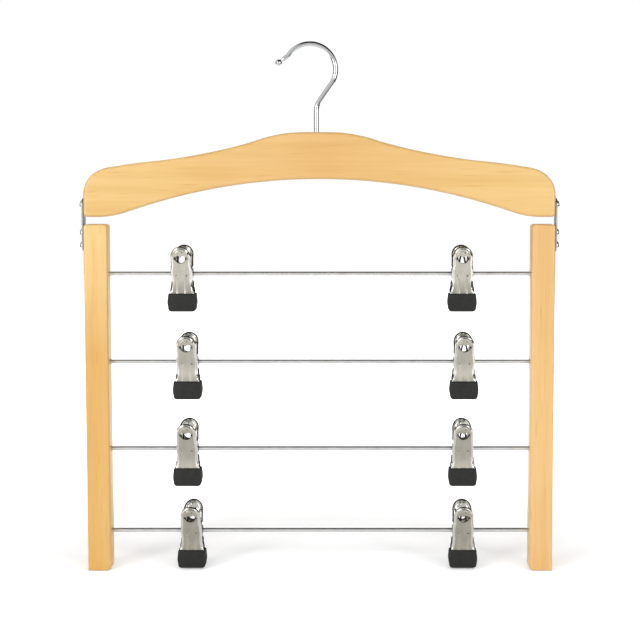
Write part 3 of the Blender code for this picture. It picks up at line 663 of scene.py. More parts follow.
def shoulder_outline():
    """Outline (x, z) of the bar in its place."""
    arch_drop = UNDER_ARCH_Z - FOOT_Z
    radius = (ARCH_HALF**2 + arch_drop**2) / (2 * arch_drop)
    slope = asin(ARCH_HALF / radius)
    tops, ends = [], []
    for side in (-1, 1):
        end_x = WOOD_X + side * HALF_WIDTH
        reach = end_x - HOOK_X
        top = [(HOOK_X + a * reach, HUMP_TOP - d * SLOPE_DROP) for a, d in SLOPE_SHARES]
        corner = (end_x, top[-1][1] - END_CORNER_DROP)
        end = fillet(top[-1], corner, (end_x, HUMP_TOP - END_TOP_DROP), 12)
        foot, up, out = Vector((end_x, FOOT_Z)), Vector((0, END_CORNER)), Vector((side, 0))
        end += fillet(foot + up, foot, foot - END_CORNER * out, 6)
        arch_start = Vector((WOOD_X + side * ARCH_HALF, FOOT_Z))
        on_arch = arch_start + ARCH_BLEND * Vector((-side * cos(slope), sin(slope)))
        end += fillet(arch_start + ARCH_BLEND * out, arch_start, on_arch)
        tops.append(top)
        ends.append(end)
    sweep = slope - ARCH_BLEND / radius
    arch = []
    for angle in spread(sweep, -sweep, ARCH_STEPS)[1:-1]:
        drop = radius * (1 - cos(angle))
        arch.append(Vector((WOOD_X + radius * sin(angle), UNDER_ARCH_Z - drop)))
    return through(tops[0][:0:-1] + tops[1])[1:-1] + ends[1] + arch + ends[0][::-1]


outline = shoulder_outline()
print("shoulder outline has", len(outline), "points")

# %% Shoulder bar with its bores
BORE, SEAT, PILOT = 2.2 * MM, 5.2 * MM, 1.8 * MM  # radii
SEAT_TOP = UNDER_ARCH_Z + 7.0 * MM
BORE_PROFILE = (
    (SEAT, UNDER_ARCH_Z - 5 * MM), (SEAT, SEAT_TOP),
    (BORE, SEAT_TOP), (BORE, HUMP_TOP + 5 * MM),
)
PILOT_PROFILE = ((PILOT, -12 * MM), (PILOT, 3 * MM))
PIVOT_Z = middle_of("pivot_screw_right").z

board, bores = bmesh.new(), bmesh.new()
add_board(board, outline, wood_low.y, wood_high.y, ROUTED_EDGE, 5)
add_turned(bores, BORE_PROFILE, (HOOK_X, 0, 0), (0, 0, 1))
for _, side in SIDES:
    end = (WOOD_X + side * HALF_WIDTH, 0, PIVOT_Z)
    add_turned(bores, PILOT_PROFILE, end, (side, 0, 0), sides=24)
board = cut_out(board, bores)
shoulder = as_piece("shoulder", board, SHOULDER_WOOD, "shoulder_bar")
print("shoulder bar:", len(shoulder.data.polygons), "faces")

# %% [markdown]
# ## Side bars
#
# Each side bar is a planed square stick with lightly rounded edges. Its inner lower corner is
# rounded more than the outer one. Four blind holes take the ends of the rods.

# %% Side bars
STICK_EDGE = 1.6 * MM
FOOT_ROUND = 4.5 * MM
TOP_ROUND = 2.6 * MM
ROD_HOLE = 1.9 * MM  # radius
HOLE_MOUTH = 2.4 * MM
HOLE_PROFILE = (
    (ROD_HOLE, -10.3 * MM), (ROD_HOLE, -0.4 * MM),
    (HOLE_MOUTH, 0.2 * MM), (HOLE_MOUTH, 3 * MM),
)


def side_bar(name, side, wood):
    """One side bar; side is -1 on the left and 1 on the right."""
    low, high = box(f"side_bar_{name}")
    inner, outer = (low.x, high.x)[::side]
    foot, head, shoulder = Vector((inner, low.z)), Vector((inner, high.z)), Vector((outer, high.z))
    up, out = Vector((0, 1)), Vector((side, 0))
    drop, across = -TOP_ROUND * up, TOP_ROUND * out
    points = fillet(head + across, head, head + drop, 5)
    points += fillet(foot + FOOT_ROUND * up, foot, foot + FOOT_ROUND * out)
    points += [Vector((outer, low.z)), *fillet(shoulder + drop, shoulder, shoulder - across, 5)]
    stick, holes = bmesh.new(), bmesh.new()
    add_board(stick, points, low.y, high.y, STICK_EDGE)
    for row in ROWS:
        mouth = (inner, 0, middle_of(f"row_{row}_rod").z)
        add_turned(holes, HOLE_PROFILE, mouth, (-side, 0, 0), sides=32)
    stick = cut_out(stick, holes)
    return as_piece(f"{name}_side_bar", stick, wood, f"side_bar_{name}")


for (name, side), wood in zip(SIDES, (LEFT_WOOD, RIGHT_WOOD)):
    print(name, "side bar:", len(side_bar(name, side, wood).data.polygons), "faces")

# %% [markdown]
# ## Wire hook
#
# The hook is one length of 3.8 mm wire. It comes up through the wood, leans to the right, turns
# round the crook and kicks up at the tip, which carries a small ball. Under the wood its end is
# peened over a washer, so it turns but can't pull out. It is swept in one go, and the ball and the
# peened head are only changes of the wire's radius, so no seam shows in the chrome.

# %% Route of the hook's wire
WIRE = 1.9 * MM  # radius
WIRE_START_RISE = 2.5 * MM
CROOK_RADIUS = 20.0 * MM
LEAN = radians(35)
NECK_RADIUS = 14.0 * MM
CROOK_SWEEP = radians(182)
TIP_BEND_RADIUS = 3.0 * MM
TIP_BEND = radians(22)
TIP_RUN = 8.4 * MM


def hook_route():
    """Centre of the wire from the bore up to the tip, in its place."""
    start_x = CROOK_RADIUS * cos(LEAN)
    start_z = WIRE - CROOK_RADIUS - CROOK_RADIUS * sin(LEAN)
    lean_run = (start_x - HOOK_X - NECK_RADIUS * (1 - cos(LEAN))) / sin(LEAN)
    neck_z = start_z - lean_run * cos(LEAN) - NECK_RADIUS * sin(LEAN)
    spot, heading = Vector((HOOK_X, neck_z)), pi / 2
    points = [Vector((HOOK_X, UNDER_ARCH_Z + WIRE_START_RISE)), spot]
    bends = ((NECK_RADIUS, -LEAN), (lean_run, 0), (CROOK_RADIUS, CROOK_SWEEP))
    for size, turn in (*bends, (TIP_BEND_RADIUS, -TIP_BEND), (TIP_RUN, 0)):
        if turn == 0:
            points.append(spot + size * Vector((cos(heading), sin(heading))))
        else:
            size = copysign(size, turn)
            middle = spot + size * Vector((-sin(heading), cos(heading)))
            steps = max(6, round(abs(turn) / radians(3)))
            for angle in spread(heading, heading + turn, steps)[1:]:
                points.append(middle + size * Vector((sin(angle), -cos(angle))))
            heading += turn
        spot = points[-1]
    return [Vector((point.x, 0.0, point.y)) for point in points]


wire_route = hook_route()
print("hook tip at", [round(part / MM, 1) for part in wire_route[-1]], "mm")

# %% Sweep the hook with its ball and head
BALL, BALL_NECK = 2.55 * MM, 1.2 * MM  # radii
BALL_END = pi - 0.03  # just short of the pole, so the last ring has a width
BALL_STEPS = 14
# widths in wire radii and heights in mm, from the bottom of the peened head up
PEENED_HEAD = (
    (0.2, -0.92), (0.9, -0.85), (1.5, -0.6), (1.74, -0.1),
    (1.62, 0.35), (1.3, 0.8), (1.0, 1.0),
)
# distances behind the ball and radii, in mm
TAPER = ((3.4, 1.88), (2.2, 1.75), (1.2, 1.35), (0.4, 1.2))


def sweep_hook(foot, *middle, before, tip):
    """The wire with a ball at its tip and a peened head at its foot."""
    way = (tip - before).normalized()
    neck = sqrt(BALL**2 - BALL_NECK**2)
    rings = [(foot + Vector((0, 0, height * MM)), WIRE * wide) for wide, height in PEENED_HEAD]
    rings += [(spot, WIRE) for spot in middle]
    rings += [(tip - way * (neck + back * MM), radius * MM) for back, radius in TAPER]
    for angle in spread(acos(neck / BALL), BALL_END, BALL_STEPS):
        rings.append((tip - way * BALL * cos(angle), BALL * sin(angle)))
    bm = bmesh.new()
    add_wire(bm, *zip(*rings), sides=32)
    return as_piece("wire_hook", bm, CHROMED_WIRE, "hook", 60)


wire_hook = sweep_hook(*wire_route[:-1], before=wire_route[-2], tip=wire_route[-1])
print("hook:", len(wire_hook.data.polygons), "faces")

# %% Washer under the wood
low, high = box("hook_washer")
outer, half = (high.x - low.x) / 2, (high.z - low.z) / 2
inner = WIRE + 0.3 * MM  # with clearance round the wire
trim = 0.2 * MM  # softly blanked edge
upper = ((inner, half), (outer - trim, half), (outer, half - trim))
profile = (*upper, (outer, trim - half), (outer - trim, -half), (inner, -half))
washer = bmesh.new()
add_turned(washer, profile, (low + high) / 2, (0, 0, 1), closed=True)
as_piece("peen_washer", washer, CHROMED_WIRE, "hook_washer")
print("washer", round(2 * outer / MM, 1), "mm across")

# %% [markdown]
# ## Rods
#
# The rods are drawn wire cut to length, with a small chamfer at each end, pushed and glued into the
# side bars. Turned with 48 sides they stay round in a close view.

# %% Rods
ROD_CHAMFER = 0.4 * MM
for row in ROWS:
    low, high = box(f"row_{row}_rod")
    half, radius = (high.x - low.x) / 2, (high.z - low.z) / 2
    trim, edge = radius - ROD_CHAMFER, half - ROD_CHAMFER
    profile = ((trim, -half), (radius, -edge), (radius, edge), (trim, half))
    rod = bmesh.new()
    add_turned(rod, profile, (low + high) / 2, (1, 0, 0), sides=48)
    as_piece(f"rod_{row}", rod, CHROMED_ROD, f"row_{row}_rod")
print("rods", round(2 * radius / MM, 2), "mm thick and", round(2 * half / MM, 1), "mm long")

# %% [markdown]
# ## Straps and screws
#
# A flat strap with round ends joins each side bar to the shoulder, on the outer faces, with one
# screw above as its pivot and two below. The straps are blanked from strip, which rounds their
# edges, and the screws have domed heads, into which a Boolean cuts the cross recess.

# %% Straps
STRAP_EDGE = 0.3 * MM
STRAP_HOLE = 1.8 * MM  # radius
STRAP_END_RISE = 5.0 * MM
SCREW_NAMES = ("pivot_screw_{}", "strap_screw_{}_upper", "strap_screw_{}_lower")


def strap(name):
    """One strap, with its round ends and three screw holes."""
    low, high = box(f"strap_{name}")
    half = (high.y - low.y) / 2
    points = []
    for end_z, way in ((high.z, 1), (low.z, -1)):
        for angle in spread(0, pi, 24):
            sunk = STRAP_END_RISE * (1 - sin(angle))
            points.append((way * half * cos(angle), end_z - way * sunk))
    strip, holes = bmesh.new(), bmesh.new()
    add_board(strip, points, low.x, high.x, STRAP_EDGE, 3, place=lambda u, v, w: (w, u, v))
    for pattern in SCREW_NAMES:
        centre = ((low.x + high.x) / 2, 0, middle_of(pattern.format(name)).z)
        profile = ((STRAP_HOLE, -3 * MM), (STRAP_HOLE, 3 * MM))
        add_turned(holes, profile, centre, (1, 0, 0), sides=24)
    strip = cut_out(strip, holes)
    return as_piece(f"{name}_strap", strip, ZINC_STRIP, f"strap_{name}")


for name, _ in SIDES:
    print(name, "strap:", len(strap(name).data.polygons), "faces")

# %% Screws with a cross recess
HEAD_RADIUS = 3.3 * MM
HEAD_RISE = 1.9 * MM
HEAD_EDGE = 0.15 * MM
HEAD_TRIM = 0.1 * MM
SHANK, NECK, ROOT = 1.5 * MM, 1.35 * MM, 1.1 * MM  # radii
THREAD_START, THREAD_END, NECK_START = -11.0 * MM, -3.0 * MM, -2.4 * MM
THREAD_PITCH = 1.2 * MM
RECESS_WIDE, RECESS_THICK, RECESS_DEEP = 3.3 * MM, 0.75 * MM, 1.1 * MM
FLOOR_SHARE, MOUTH_SHARE = 0.5, 1.5  # of the recess's width
POINT = ((0.05 * MM, THREAD_START - 2.0 * MM), (1.0 * MM, THREAD_START - 0.4 * MM))
DOME_TIP = 0.05 * MM  # the last ring needs a width
STOP_STEP = 23  # degrees from one screw's recess to the next


def screw_profile():
    """Profile (radius, height above the head's seat) from the point up to the top of the dome."""
    profile = [*POINT]
    height = THREAD_START
    while height < THREAD_END:
        profile += [(SHANK, height), (ROOT, height + THREAD_PITCH / 2)]
        height += THREAD_PITCH
    profile += [(NECK, NECK_START), (NECK, 0.0), (HEAD_RADIUS - HEAD_TRIM, 0.0)]
    profile.append((HEAD_RADIUS, HEAD_EDGE))
    for angle in spread(0, pi / 2, 8)[1:]:
        radius = max(DOME_TIP, HEAD_RADIUS * cos(angle))
        profile.append((radius, HEAD_EDGE + (HEAD_RISE - HEAD_EDGE) * sin(angle)))
    return profile


def screw(pattern, name, side):
    """One screw in its place, its recess turned as it happened to stop."""
    node = pattern.format(name)
    low, high = box(node)
    seat = (high.x if side == 1 else low.x) - side * HEAD_RISE
    centre = Vector((seat, 0.0, (low.z + high.z) / 2))
    stop = radians(STOP_STEP * (SCREW_NAMES.index(pattern) + side))
    body, recess = bmesh.new(), bmesh.new()
    add_turned(body, screw_profile(), centre, (side, 0, 0), sides=32)
    floor = centre.x + side * (HEAD_RISE - RECESS_DEEP)
    rings = []
    for x, reach in ((floor, FLOOR_SHARE), (floor + side * 2 * RECESS_DEEP, MOUTH_SHARE)):
        wide, thick = reach * RECESS_WIDE / 2, RECESS_THICK / 2
        ring = []
        for turn in spread(stop, stop + 2 * pi, 4)[:-1]:
            along = Vector((cos(turn), sin(turn)))
            end, edge = wide * along, thick * Vector((-along.y, along.x))
            for spot in (end - edge, end + edge, thick * along + edge):
                ring.append(recess.verts.new((x, spot.x, centre.z + spot.y)))
        rings.append(ring)
    skin(recess, rings)
    fixing = node.replace("_screw", "_fixing")
    return as_piece(fixing, cut_out(body, recess), ZINC_PLATE, node, 40)


for name, side in SIDES:
    for pattern in SCREW_NAMES:
        made = screw(pattern, name, side)
print("screw:", len(made.data.polygons), "faces")

# %% [markdown]
# ## Clip jaws
#
# Each clip has two jaws pressed from 0.9 mm sheet. A jaw is a nearly flat plate whose edges are
# bent back into a low flange, which deepens into two ears round the rod. The press also dishes the
# head in two steps and leaves two flutes, three small pits, and a lanced hole with a turned-in edge
# for the spring's leg. Light comes through both holes of a clip, so the rear one is made longer, to
# lie in the camera's line through the front one.
#
# The sheet is one surface: a grid across the plate, with its edge carried round the bend. Every
# pressing is a small height added to the grid, so all of them share one clean mesh, which all eight
# clips use. Bends and inside are smoother than the plate and painted a lighter tint, a painted
# highlight. The cut edges are dark steel, and the flange past the bend, the hole's turned-in lip and
# the pits get the same dark finish as painted shade. So a jaw reads as a bright rim round a satin
# middle with thin dark lines.

# %% Outline of a jaw
SHEET = 0.9 * MM
HANDLE_TOP = 22.1 * MM
HEAD_HALF = 7.75 * MM
HEAD_CENTRE = HANDLE_TOP - HEAD_HALF
JAW_DROP = 28.0 * MM
BOOT_TOP = -15.5 * MM
BEND_RADIUS = 1.6 * MM
# heights between which the rear jaw is drawn in round the rod, and is wider below it
EARS_DRAWN_IN = (4.5 * MM, 6.5 * MM)
WIDER_START, WIDER_END = (5.5 * MM, 7.5 * MM), (-15.5 * MM, -13.5 * MM)
WIDER_SHARE = 0.7
# heights and half widths in mm
EDGE_KEYS = (
    (-28.0, 9.4), (-15.5, 9.4), (-13.2, 9.0), (-9.6, 8.3), (-5.8, 8.2),
    (-1.0, 8.55), (3.0, 8.45), (8.0, 7.8), (11.5, 7.7), (14.35, 7.75),
)


def eased(value, low, high):
    """Share from 0 to 1 with soft ends as a value goes from low to high."""
    share = min(1.0, max(0.0, (value - low) / (high - low)))
    return share * share * (3 - 2 * share)


def edge_half(z, nest):
    """Half the jaw's width at a height; nest draws the rear jaw's ears inside the front ones."""
    width = EDGE_KEYS[-1][1]
    for (low, low_width), (high, high_width) in zip(EDGE_KEYS, EDGE_KEYS[1:]):
        if low * MM <= z < high * MM:
            width = low_width + (high_width - low_width) * eased(z / MM, low, high)
    drawn_in = 1 - eased(abs(z), *EARS_DRAWN_IN)
    drawn_in -= WIDER_SHARE * eased(-z, *WIDER_START) * eased(z, *WIDER_END)
    return width * MM - nest * drawn_in - SHEET / 2


print("head", 2 * HEAD_HALF / MM, "mm across, its centre at", round(HEAD_CENTRE / MM, 2), "mm")

# %% Lean of the plate and depth of its flange
PLATE_AT_ROD = 5.5 * MM
PLATE_AT_TOP = 14.0 * MM
PLATE_AT_GRIP = 2.75 * MM
FLANGE = 2.0 * MM
EAR_RADIUS = 3.9 * MM
EAR_ROOT, EAR_EASE = 1.1 * MM, 2 * MM  # extra depth beside the ears
BOOT_EASE = 2.5 * MM


def plate_lean(z):
    """How far the plate's middle surface stands from the rod's axis at a height."""
    if z >= 0:
        return PLATE_AT_ROD + (PLATE_AT_TOP - PLATE_AT_ROD) * z / HANDLE_TOP
    closing = min(1.0, z / BOOT_TOP)
    return PLATE_AT_ROD + (PLATE_AT_GRIP - PLATE_AT_ROD) * closing * (2 - closing)


def out_of_boot(z):
    """Share from 0 in the boot to 1 a little above it."""
    return eased(z, BOOT_TOP, BOOT_TOP + BOOT_EASE)


def flange_reach(z):
    """How far the edge is bent back at a height: nothing in the boot, a low flange, round ears."""
    low = FLANGE * out_of_boot(z)
    if abs(z) >= EAR_RADIUS:
        near_ear = 1 - eased(abs(z), EAR_RADIUS, EAR_RADIUS + EAR_EASE)
        return low + EAR_ROOT * near_ear * eased(z, BOOT_TOP, 0)
    return max(low, plate_lean(z) + sqrt(EAR_RADIUS**2 - z**2))


print("handles spread", 2 * PLATE_AT_TOP / MM, "mm at the top")

# %% Pressings on the plate
HOLE_RISE = 12.6 * MM
# outer and inner radius and height of each step, in mm
DISH_STEPS = ((6.5, 5.7, 0.5), (5.0, 4.3, 0.4))
FLUTE_PLACE = 3.1 * MM
FLUTE_HEIGHT = 0.36 * MM
FLUTE_WIDTH = 0.75 * MM
FLUTE_START, FLUTE_END = (1 * MM, 6 * MM), (16 * MM, 18 * MM)  # below the rod
DISH_START = (11 * MM, 14.5 * MM)
# places (x, z) in mm
PITS = ((-4.1, -1.3), (3.9, -1.3), (1.4, 17.6))
PIT_SIZE = 0.5 * MM


def bump(distance, width):
    """A smooth hump from 1 at distance 0 to nothing a little past width."""
    return exp(-((distance / width) ** 2))


def pressed_height(x, z):
    """Height of the pressings at a place on the plate, outward."""
    from_head = hypot(x, z - HEAD_CENTRE)
    flutes = bump(abs(x) - FLUTE_PLACE, FLUTE_WIDTH) * eased(-z, *FLUTE_START)
    height = FLUTE_HEIGHT * flutes * (1 - eased(-z, *FLUTE_END))
    for outer, inner, step in DISH_STEPS:
        dished = eased(-from_head, -outer * MM, -inner * MM)
        height += step * MM * eased(z, *DISH_START) * dished
    for pit_x, pit_z in PITS:
        height -= PIT_SIZE * bump(hypot(x - pit_x * MM, z - pit_z * MM), PIT_SIZE)
    return height


print("head dished in", len(DISH_STEPS), "steps, flutes", FLUTE_HEIGHT / MM, "mm high")

# %% Grid of the plate
COLUMNS = 40
ROW_STEP = 0.5 * MM
DOME_ROWS = 13
CROWN_SHARE = 0.82
CORNER_FULLNESS = 5


def plate_rows(nest):
    """Rows of places (x, z) across the flat of the plate, from the boot up to the crown."""
    shares = spread(-1, 1, COLUMNS)
    rows = []
    for z in spread(-JAW_DROP, HEAD_CENTRE, round((HEAD_CENTRE + JAW_DROP) / ROW_STEP)):
        rows.append([(share * (edge_half(z, nest) - BEND_RADIUS), z) for share in shares])
    dome = HEAD_HALF - SHEET / 2 - BEND_RADIUS
    for rise in spread(0, 1, DOME_ROWS)[1:]:
        wide = dome * (1 - (1 - CROWN_SHARE) * rise)
        places = []
        for share in shares:
            lift = rise + (1 - rise) * abs(share) ** CORNER_FULLNESS
            places.append((share * wide, HEAD_CENTRE + lift * sqrt(dome**2 - (share * wide) ** 2)))
        rows.append(places)
    return rows


print("plate rows:", len(plate_rows(0.0)))

# %% Sheet of a jaw with its bent edges
BEND_STEPS = 6
# finishes: the plate; the lighter nickel of the bends and inside, a painted highlight; and the dark finish of the
# cut edges, also used as painted shade
SHEET_FINISHES = (NICKEL_SHEET, BRIGHTENED_NICKEL, BRIGHTENED_NICKEL, CUT_EDGE_AND_SHADE)
CUT_AND_SHADE_FINISH = 3
LEAST_EDGE = 0.02 * MM


def jaw_surface(nest):
    """The middle surface of a jaw, facing the front, its axis on the rod's."""
    bm = bmesh.new()
    grid = []
    for row in plate_rows(nest):
        grid.append([bm.verts.new((x, -plate_lean(z) - pressed_height(x, z), z)) for x, z in row])
    for lower, upper in zip(grid, grid[1:]):
        for column in range(COLUMNS):
            bm.faces.new((lower[column], lower[column + 1], upper[column + 1], upper[column]))
    edge = [row[0] for row in grid[:-1]] + grid[-1] + [row[-1] for row in grid[-2::-1]]
    spots = [Vector((vert.co.x, vert.co.z)) for vert in edge]
    neighbours = zip([spots[0], *spots], [*spots[1:], spots[-1]])
    rings = []
    for vert, spot, (before, after) in zip(edge, spots, neighbours):
        along = (after - before).normalized()
        outward = Vector((-along.y, along.x)) * BEND_RADIUS
        bent = BEND_RADIUS * out_of_boot(spot.y)
        past = max(LEAST_EDGE, flange_reach(spot.y) - bent)
        turns = spread(0, pi / 2, BEND_STEPS)[1:]
        steps = [(sin(angle), (1 - cos(angle)) * bent) for angle in turns]
        ring = [vert]
        for out, back in (*steps, (1.0, bent + past / 2), (1.0, bent + past)):
            place = spot + outward * out
            ring.append(bm.verts.new((place.x, back - plate_lean(place.y), place.y)))
        rings.append(ring)
    for near, far in zip(rings, rings[1:]):
        for step in range(len(near) - 1):
            face = bm.faces.new((near[step], far[step], far[step + 1], near[step + 1]))
            # the bend gets the lighter nickel, a painted highlight, and the flange past it the dark finish as
            # painted shade
            face.material_index = 1 if step < BEND_STEPS else CUT_AND_SHADE_FINISH
    return bm


trial = jaw_surface(0.0)
print("jaw surface:", len(trial.faces), "faces")
trial.free()

# %% Thicken the sheet and cut the rod's and the spring's holes
# right half of the hole's upper edge, as a share of its half width and a height in mm
LANCED_EDGE = ((0.09, 0.5), (0.32, 1.3), (0.68, 1.45), (0.93, 0.7), (1.0, -0.6))
TURNED_IN = 0.65 * MM
# faces of the tool that cuts the hole, by how far they stand out and how much wider they are
HOLE_STEPS = ((3 * MM, TURNED_IN), (SHEET / 2, TURNED_IN), (-SHEET / 4, 0.0), (-3 * MM, 0.0))
HOLE_MIDDLE = Vector((0.0, -1.3 * MM))
LOWER_EDGE = -0.5 * MM  # start of the hole's round lower half
ROD_TOOL = 14 * MM  # half length, past both ears
WALL_LEAN = 0.86  # a cut's wall leans further than this
PLATE_ONLY = 0.9 * PLATE_AT_ROD  # nearer the rod is ear


def thickened(surface):
    """A closed solid of a surface, half the sheet's thickness to each side."""
    sheet = put("sheet", to_mesh("sheet", surface, SHEET_FINISHES))
    finishes = {"material_offset": 1, "material_offset_rim": 2}
    return changed([sheet], "SOLIDIFY", thickness=SHEET, offset=0.0, **finishes)


def with_holes(sheet, half, drop):
    """Cut the rod's hole through both ears, and the lanced hole, which narrows inward."""
    tool = bmesh.new()
    add_turned(tool, ((ROD_HOLE, -ROD_TOOL), (ROD_HOLE, ROD_TOOL)), (0, 0, 0), (1, 0, 0), sides=32)
    edge = (*((-x, z) for x, z in LANCED_EDGE[::-1]), *LANCED_EDGE)
    outline = through([(x * half, z * MM) for x, z in edge], 3)
    for angle in spread(0, pi, 18)[1:-1]:
        outline.append(Vector((half * cos(angle), LOWER_EDGE - drop * sin(angle))))
    rings = []
    for out, wider in HOLE_STEPS:
        ring = []
        for spot in outline:
            place = spot + (spot - HOLE_MIDDLE).normalized() * wider + Vector((0.0, wider / 2))
            height = HOLE_RISE + place.y
            ring.append(tool.verts.new((place.x, -plate_lean(height) - out, height)))
        rings.append(ring)
    skin(tool, rings)
    return cut_out(sheet, tool)


def darken_cut_faces(bm, side, reach):
    """Give the leaning walls of the lanced hole and the pits the dark finish: torn steel on the cut walls, painted
    shade on the turned-in lip and in the pits.
    """
    count = 0
    for face in bm.faces:
        middle = face.calc_center_median()
        near = hypot(middle.x, middle.z - HOLE_RISE - HOLE_MIDDLE.y) < reach
        pits = (hypot(middle.x * side - x * MM, middle.z - z * MM) for x, z in PITS)
        # the hole's leaning walls, cut steel with painted shade on the lip, and the pits, painted shade
        marked = near and abs(face.normal.y) < WALL_LEAN or min(pits) < PIT_SIZE
        if marked and abs(middle.y) > PLATE_ONLY:
            face.material_index = CUT_AND_SHADE_FINISH
            count += 1
    return count


def half_turned(bm):
    """Turn a form half round about the upright axis, so a front jaw becomes a rear one."""
    bmesh.ops.scale(bm, vec=(-1.0, -1.0, 1.0), verts=bm.verts)
    return bm


FRONT_HOLE = (3.55 * MM, 3.1 * MM)
REAR_HOLE = (4.6 * MM, 5.2 * MM)
NEST = 1.2 * MM
HOLE_REACH = REAR_HOLE[0] + TURNED_IN + 0.3 * MM
front_sheet = with_holes(thickened(jaw_surface(0.0)), *FRONT_HOLE)
rear_sheet = half_turned(with_holes(thickened(jaw_surface(NEST)), *REAR_HOLE))
JAW_MESHES = {}
for name, jaw, side in (("front", front_sheet, 1), ("rear", rear_sheet, -1)):
    # dark faces: the cut walls, and painted shade on the lip and in the pits
    print("faces of a sheared edge:", darken_cut_faces(jaw, side, HOLE_REACH))
    JAW_MESHES[name] = to_mesh(f"{name}_jaw_sheet", jaw, SHEET_FINISHES, 38)
print("jaw faces:", {side: len(mesh.polygons) for side, mesh in JAW_MESHES.items()})

# %% [markdown]
# ## Boots
#
# A boot is a soft sleeve, thicker than the sheet and a little fuller in the middle. It is a rounded
# slab with full sides, a softer roll at the bottom, and a slot in its top edge for the jaw.

# %% Boots
BOOT_BOTTOM = BOOT_TOP - 14.3 * MM
BOOT_HALF = 11.5 * MM
BOOT_TRIM = 10.95 * MM
TOP_ROLL, BOTTOM_ROLL = 1.3 * MM, 3.2 * MM
BOOT_BACK = 0.15 * MM
BOOT_FRONT = 4.9 * MM
BOOT_EDGE = 1.1 * MM
SLOT_CORNERS = ((-9.7, -0.75), (9.7, -0.75), (9.7, 0.75), (-9.7, 0.75))
SLOT_DEPTH = 12.8 * MM


def boot_outline():
    """Outline (x, z) of a boot, with slightly full sides."""
    points = []
    for side in (1, -1):
        trim = side * BOOT_TRIM
        under, above = (trim, BOOT_TOP - TOP_ROLL), (trim, BOOT_BOTTOM + BOTTOM_ROLL)
        full = (side * BOOT_HALF, (BOOT_TOP + BOOT_BOTTOM) / 2)
        edge = fillet((trim - side * TOP_ROLL, BOOT_TOP), (trim, BOOT_TOP), under, 6)
        edge += through((under, full, above), 4)[1:-1]
        edge += fillet(above, (trim, BOOT_BOTTOM), (trim - side * BOTTOM_ROLL, BOOT_BOTTOM))
        points += edge[::side]
    return points


def boot_form():
    """One boot in front of the closing plane, with a slot for the jaw's tip, open at the top."""
    boot, slot = bmesh.new(), bmesh.new()
    add_board(boot, boot_outline(), -BOOT_FRONT, -BOOT_BACK, BOOT_EDGE, 5)
    rings = []
    for z in (BOOT_TOP - SLOT_DEPTH, BOOT_TOP + 2 * MM):
        rings.append([slot.verts.new((x * MM, y * MM - PLATE_AT_GRIP, z)) for x, y in SLOT_CORNERS])
    skin(slot, rings)
    return cut_out(boot, slot)


BOOT_MESHES = {
    "front": to_mesh("front_boot_sleeve", boot_form(), [BLACK_VINYL], 45),
    "rear": to_mesh("rear_boot_sleeve", half_turned(boot_form()), [BLACK_VINYL], 45),
}
print("boot faces:", len(BOOT_MESHES["front"].polygons))

# %% [markdown]
# ## Torsion springs
#
# One wire is wound four and a half turns on the rod, and each end runs up inside a handle and hooks
# into the lanced hole. When the clip opens, each leg goes with its handle. So the coil is a piece
# that slides with the clip, and each leg is one that rides with its jaw. A leg keeps the half turn
# next to it, which lies on the coil's own path and stays on it as it turns.

# %% Route of the spring's wire
SPRING_WIRE = 1.4 * MM
SPRING_PITCH = 2.0 * MM
SPRING_TURNS = 4
COIL_RADIUS = (3.2 / 2 + 0.3 + 1.4 / 2) * MM  # half the rod, the clearance and half the wire
LEG_TOP = 15.5 * MM
LEG_INSET = 1.6 * MM
LEG_BEND = 1.2 * MM
LEG_GAP = 0.3 * MM  # short of the sheet's inner face
LEG_LEAN = atan((PLATE_AT_TOP - PLATE_AT_ROD) / HANDLE_TOP)
STEPS_A_TURN = 24


def coil_points():
    """Points of the coil from the front leg's foot to the rear leg's foot."""
    turn = pi - 2 * LEG_LEAN + 2 * pi * SPRING_TURNS
    half_length = SPRING_PITCH * turn / (4 * pi)
    steps = round(STEPS_A_TURN * turn / (2 * pi))
    points = []
    for share in spread(0, 1, steps):
        angle = LEG_LEAN + turn * share
        x = half_length * (2 * share - 1)
        points.append(Vector((x, -COIL_RADIUS * cos(angle), -COIL_RADIUS * sin(angle))))
    return points


def leg_points(foot):
    """Points of the front leg from its hooked tip down to the coil's first point."""
    along = Vector((0.0, -sin(LEG_LEAN), cos(LEG_LEAN)))
    outward = Vector((0.0, -cos(LEG_LEAN), -sin(LEG_LEAN)))
    tip_reach = (PLATE_AT_ROD - SHEET / 2) * cos(LEG_LEAN) - COIL_RADIUS - LEG_GAP
    length = (LEG_TOP - foot.z) / cos(LEG_LEAN)
    corner = foot + along * length + Vector((-foot.x - LEG_INSET, 0.0, 0.0))
    base = foot + along * SPRING_WIRE
    before = corner - (corner - base).normalized() * LEG_BEND
    bend = fillet(corner + outward * min(LEG_BEND, tip_reach * 0.6), corner, before, 5)
    run = [before.lerp(base, share) for share in spread(0, 1, 6)[1:]]
    return [corner + outward * tip_reach, *bend, *run]


coil = coil_points()
front_leg = leg_points(coil[0])
print("coil of", len(coil), "points,", round(2 * coil[-1].x / MM, 1), "mm long")

# %% Spring meshes
HALF_TURN = STEPS_A_TURN // 2
SLIM = 0.985  # keeps the coil inside the skin of the legs where they lie on one path


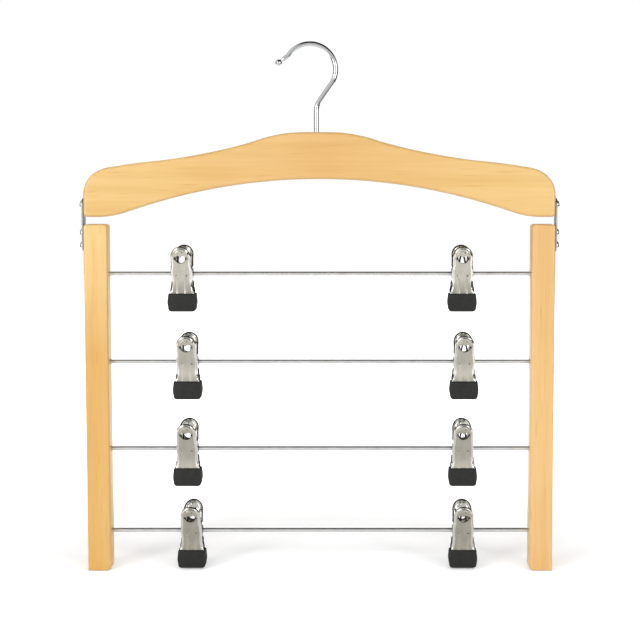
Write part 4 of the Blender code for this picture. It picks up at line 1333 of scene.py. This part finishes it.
def wire_mesh(name, route, radius):
    """A mesh of round spring wire along a route."""
    bm = bmesh.new()
    add_wire(bm, route, [radius] * len(route), sides=14)
    return to_mesh(name, bm, [SPRING_STEEL], 60)


front_route = front_leg + coil[: HALF_TURN + 1]
rear_route = [Vector((-point.x, -point.y, point.z)) for point in front_route]
SPRING_MESHES = {
    "coil": wire_mesh("spring_coil", coil[4:-4], SPRING_WIRE / 2 * SLIM),
    "front": wire_mesh("spring_front_leg", front_route, SPRING_WIRE / 2),
    "rear": wire_mesh("spring_rear_leg", rear_route, SPRING_WIRE / 2),
}
print("spring faces:", {part: len(mesh.polygons) for part, mesh in SPRING_MESHES.items()})

# %% [markdown]
# ## Eight clips
#
# Every clip uses the same meshes, moved to the axis of its own joint.

# %% Put the clips on the rods
for clip, axis in CLIPS.items():
    pieces = []
    for side in ("front", "rear"):
        edge = f"{clip}_{side}"
        jaw = stand_in(f"{edge}_handle", JAW_MESHES[side], f"{edge}_jaw")
        boot = stand_in(f"{edge}_sleeve", BOOT_MESHES[side], f"{edge}_boot")
        leg = stand_in(f"{edge}_leg", SPRING_MESHES[side], f"{clip}_spring", edge)
        pieces += [jaw, boot, leg]
    pieces.append(stand_in(f"{clip}_coil", SPRING_MESHES["coil"], f"{clip}_spring"))
    for piece in pieces:
        piece.location = axis
print("clips placed:", len(CLIPS))

# %% [markdown]
# ## Finish of the fixed model
#
# The nodes of the fixed model get the same finishes as the pieces that stand for them, so either
# one looks right by itself.

# %% Finish of each carried-over node
FINISHES = (
    ("shoulder_bar", SHOULDER_WOOD),
    ("side_bar_left", LEFT_WOOD),
    ("side_bar_right", RIGHT_WOOD),
    ("hook", CHROMED_WIRE),
    ("_rod", CHROMED_ROD),
    ("_jaw", NICKEL_SHEET),
    ("_spring", SPRING_STEEL),
    ("_boot", BLACK_VINYL),
    ("_screw", ZINC_PLATE),
    ("strap", ZINC_STRIP),
)
for node in frame["nodes"]:
    finish = next(finish for mark, finish in FINISHES if mark in node)
    for slot in bpy.data.objects[node].material_slots:
        slot.material = finish
print("finished nodes:", len(frame["nodes"]))
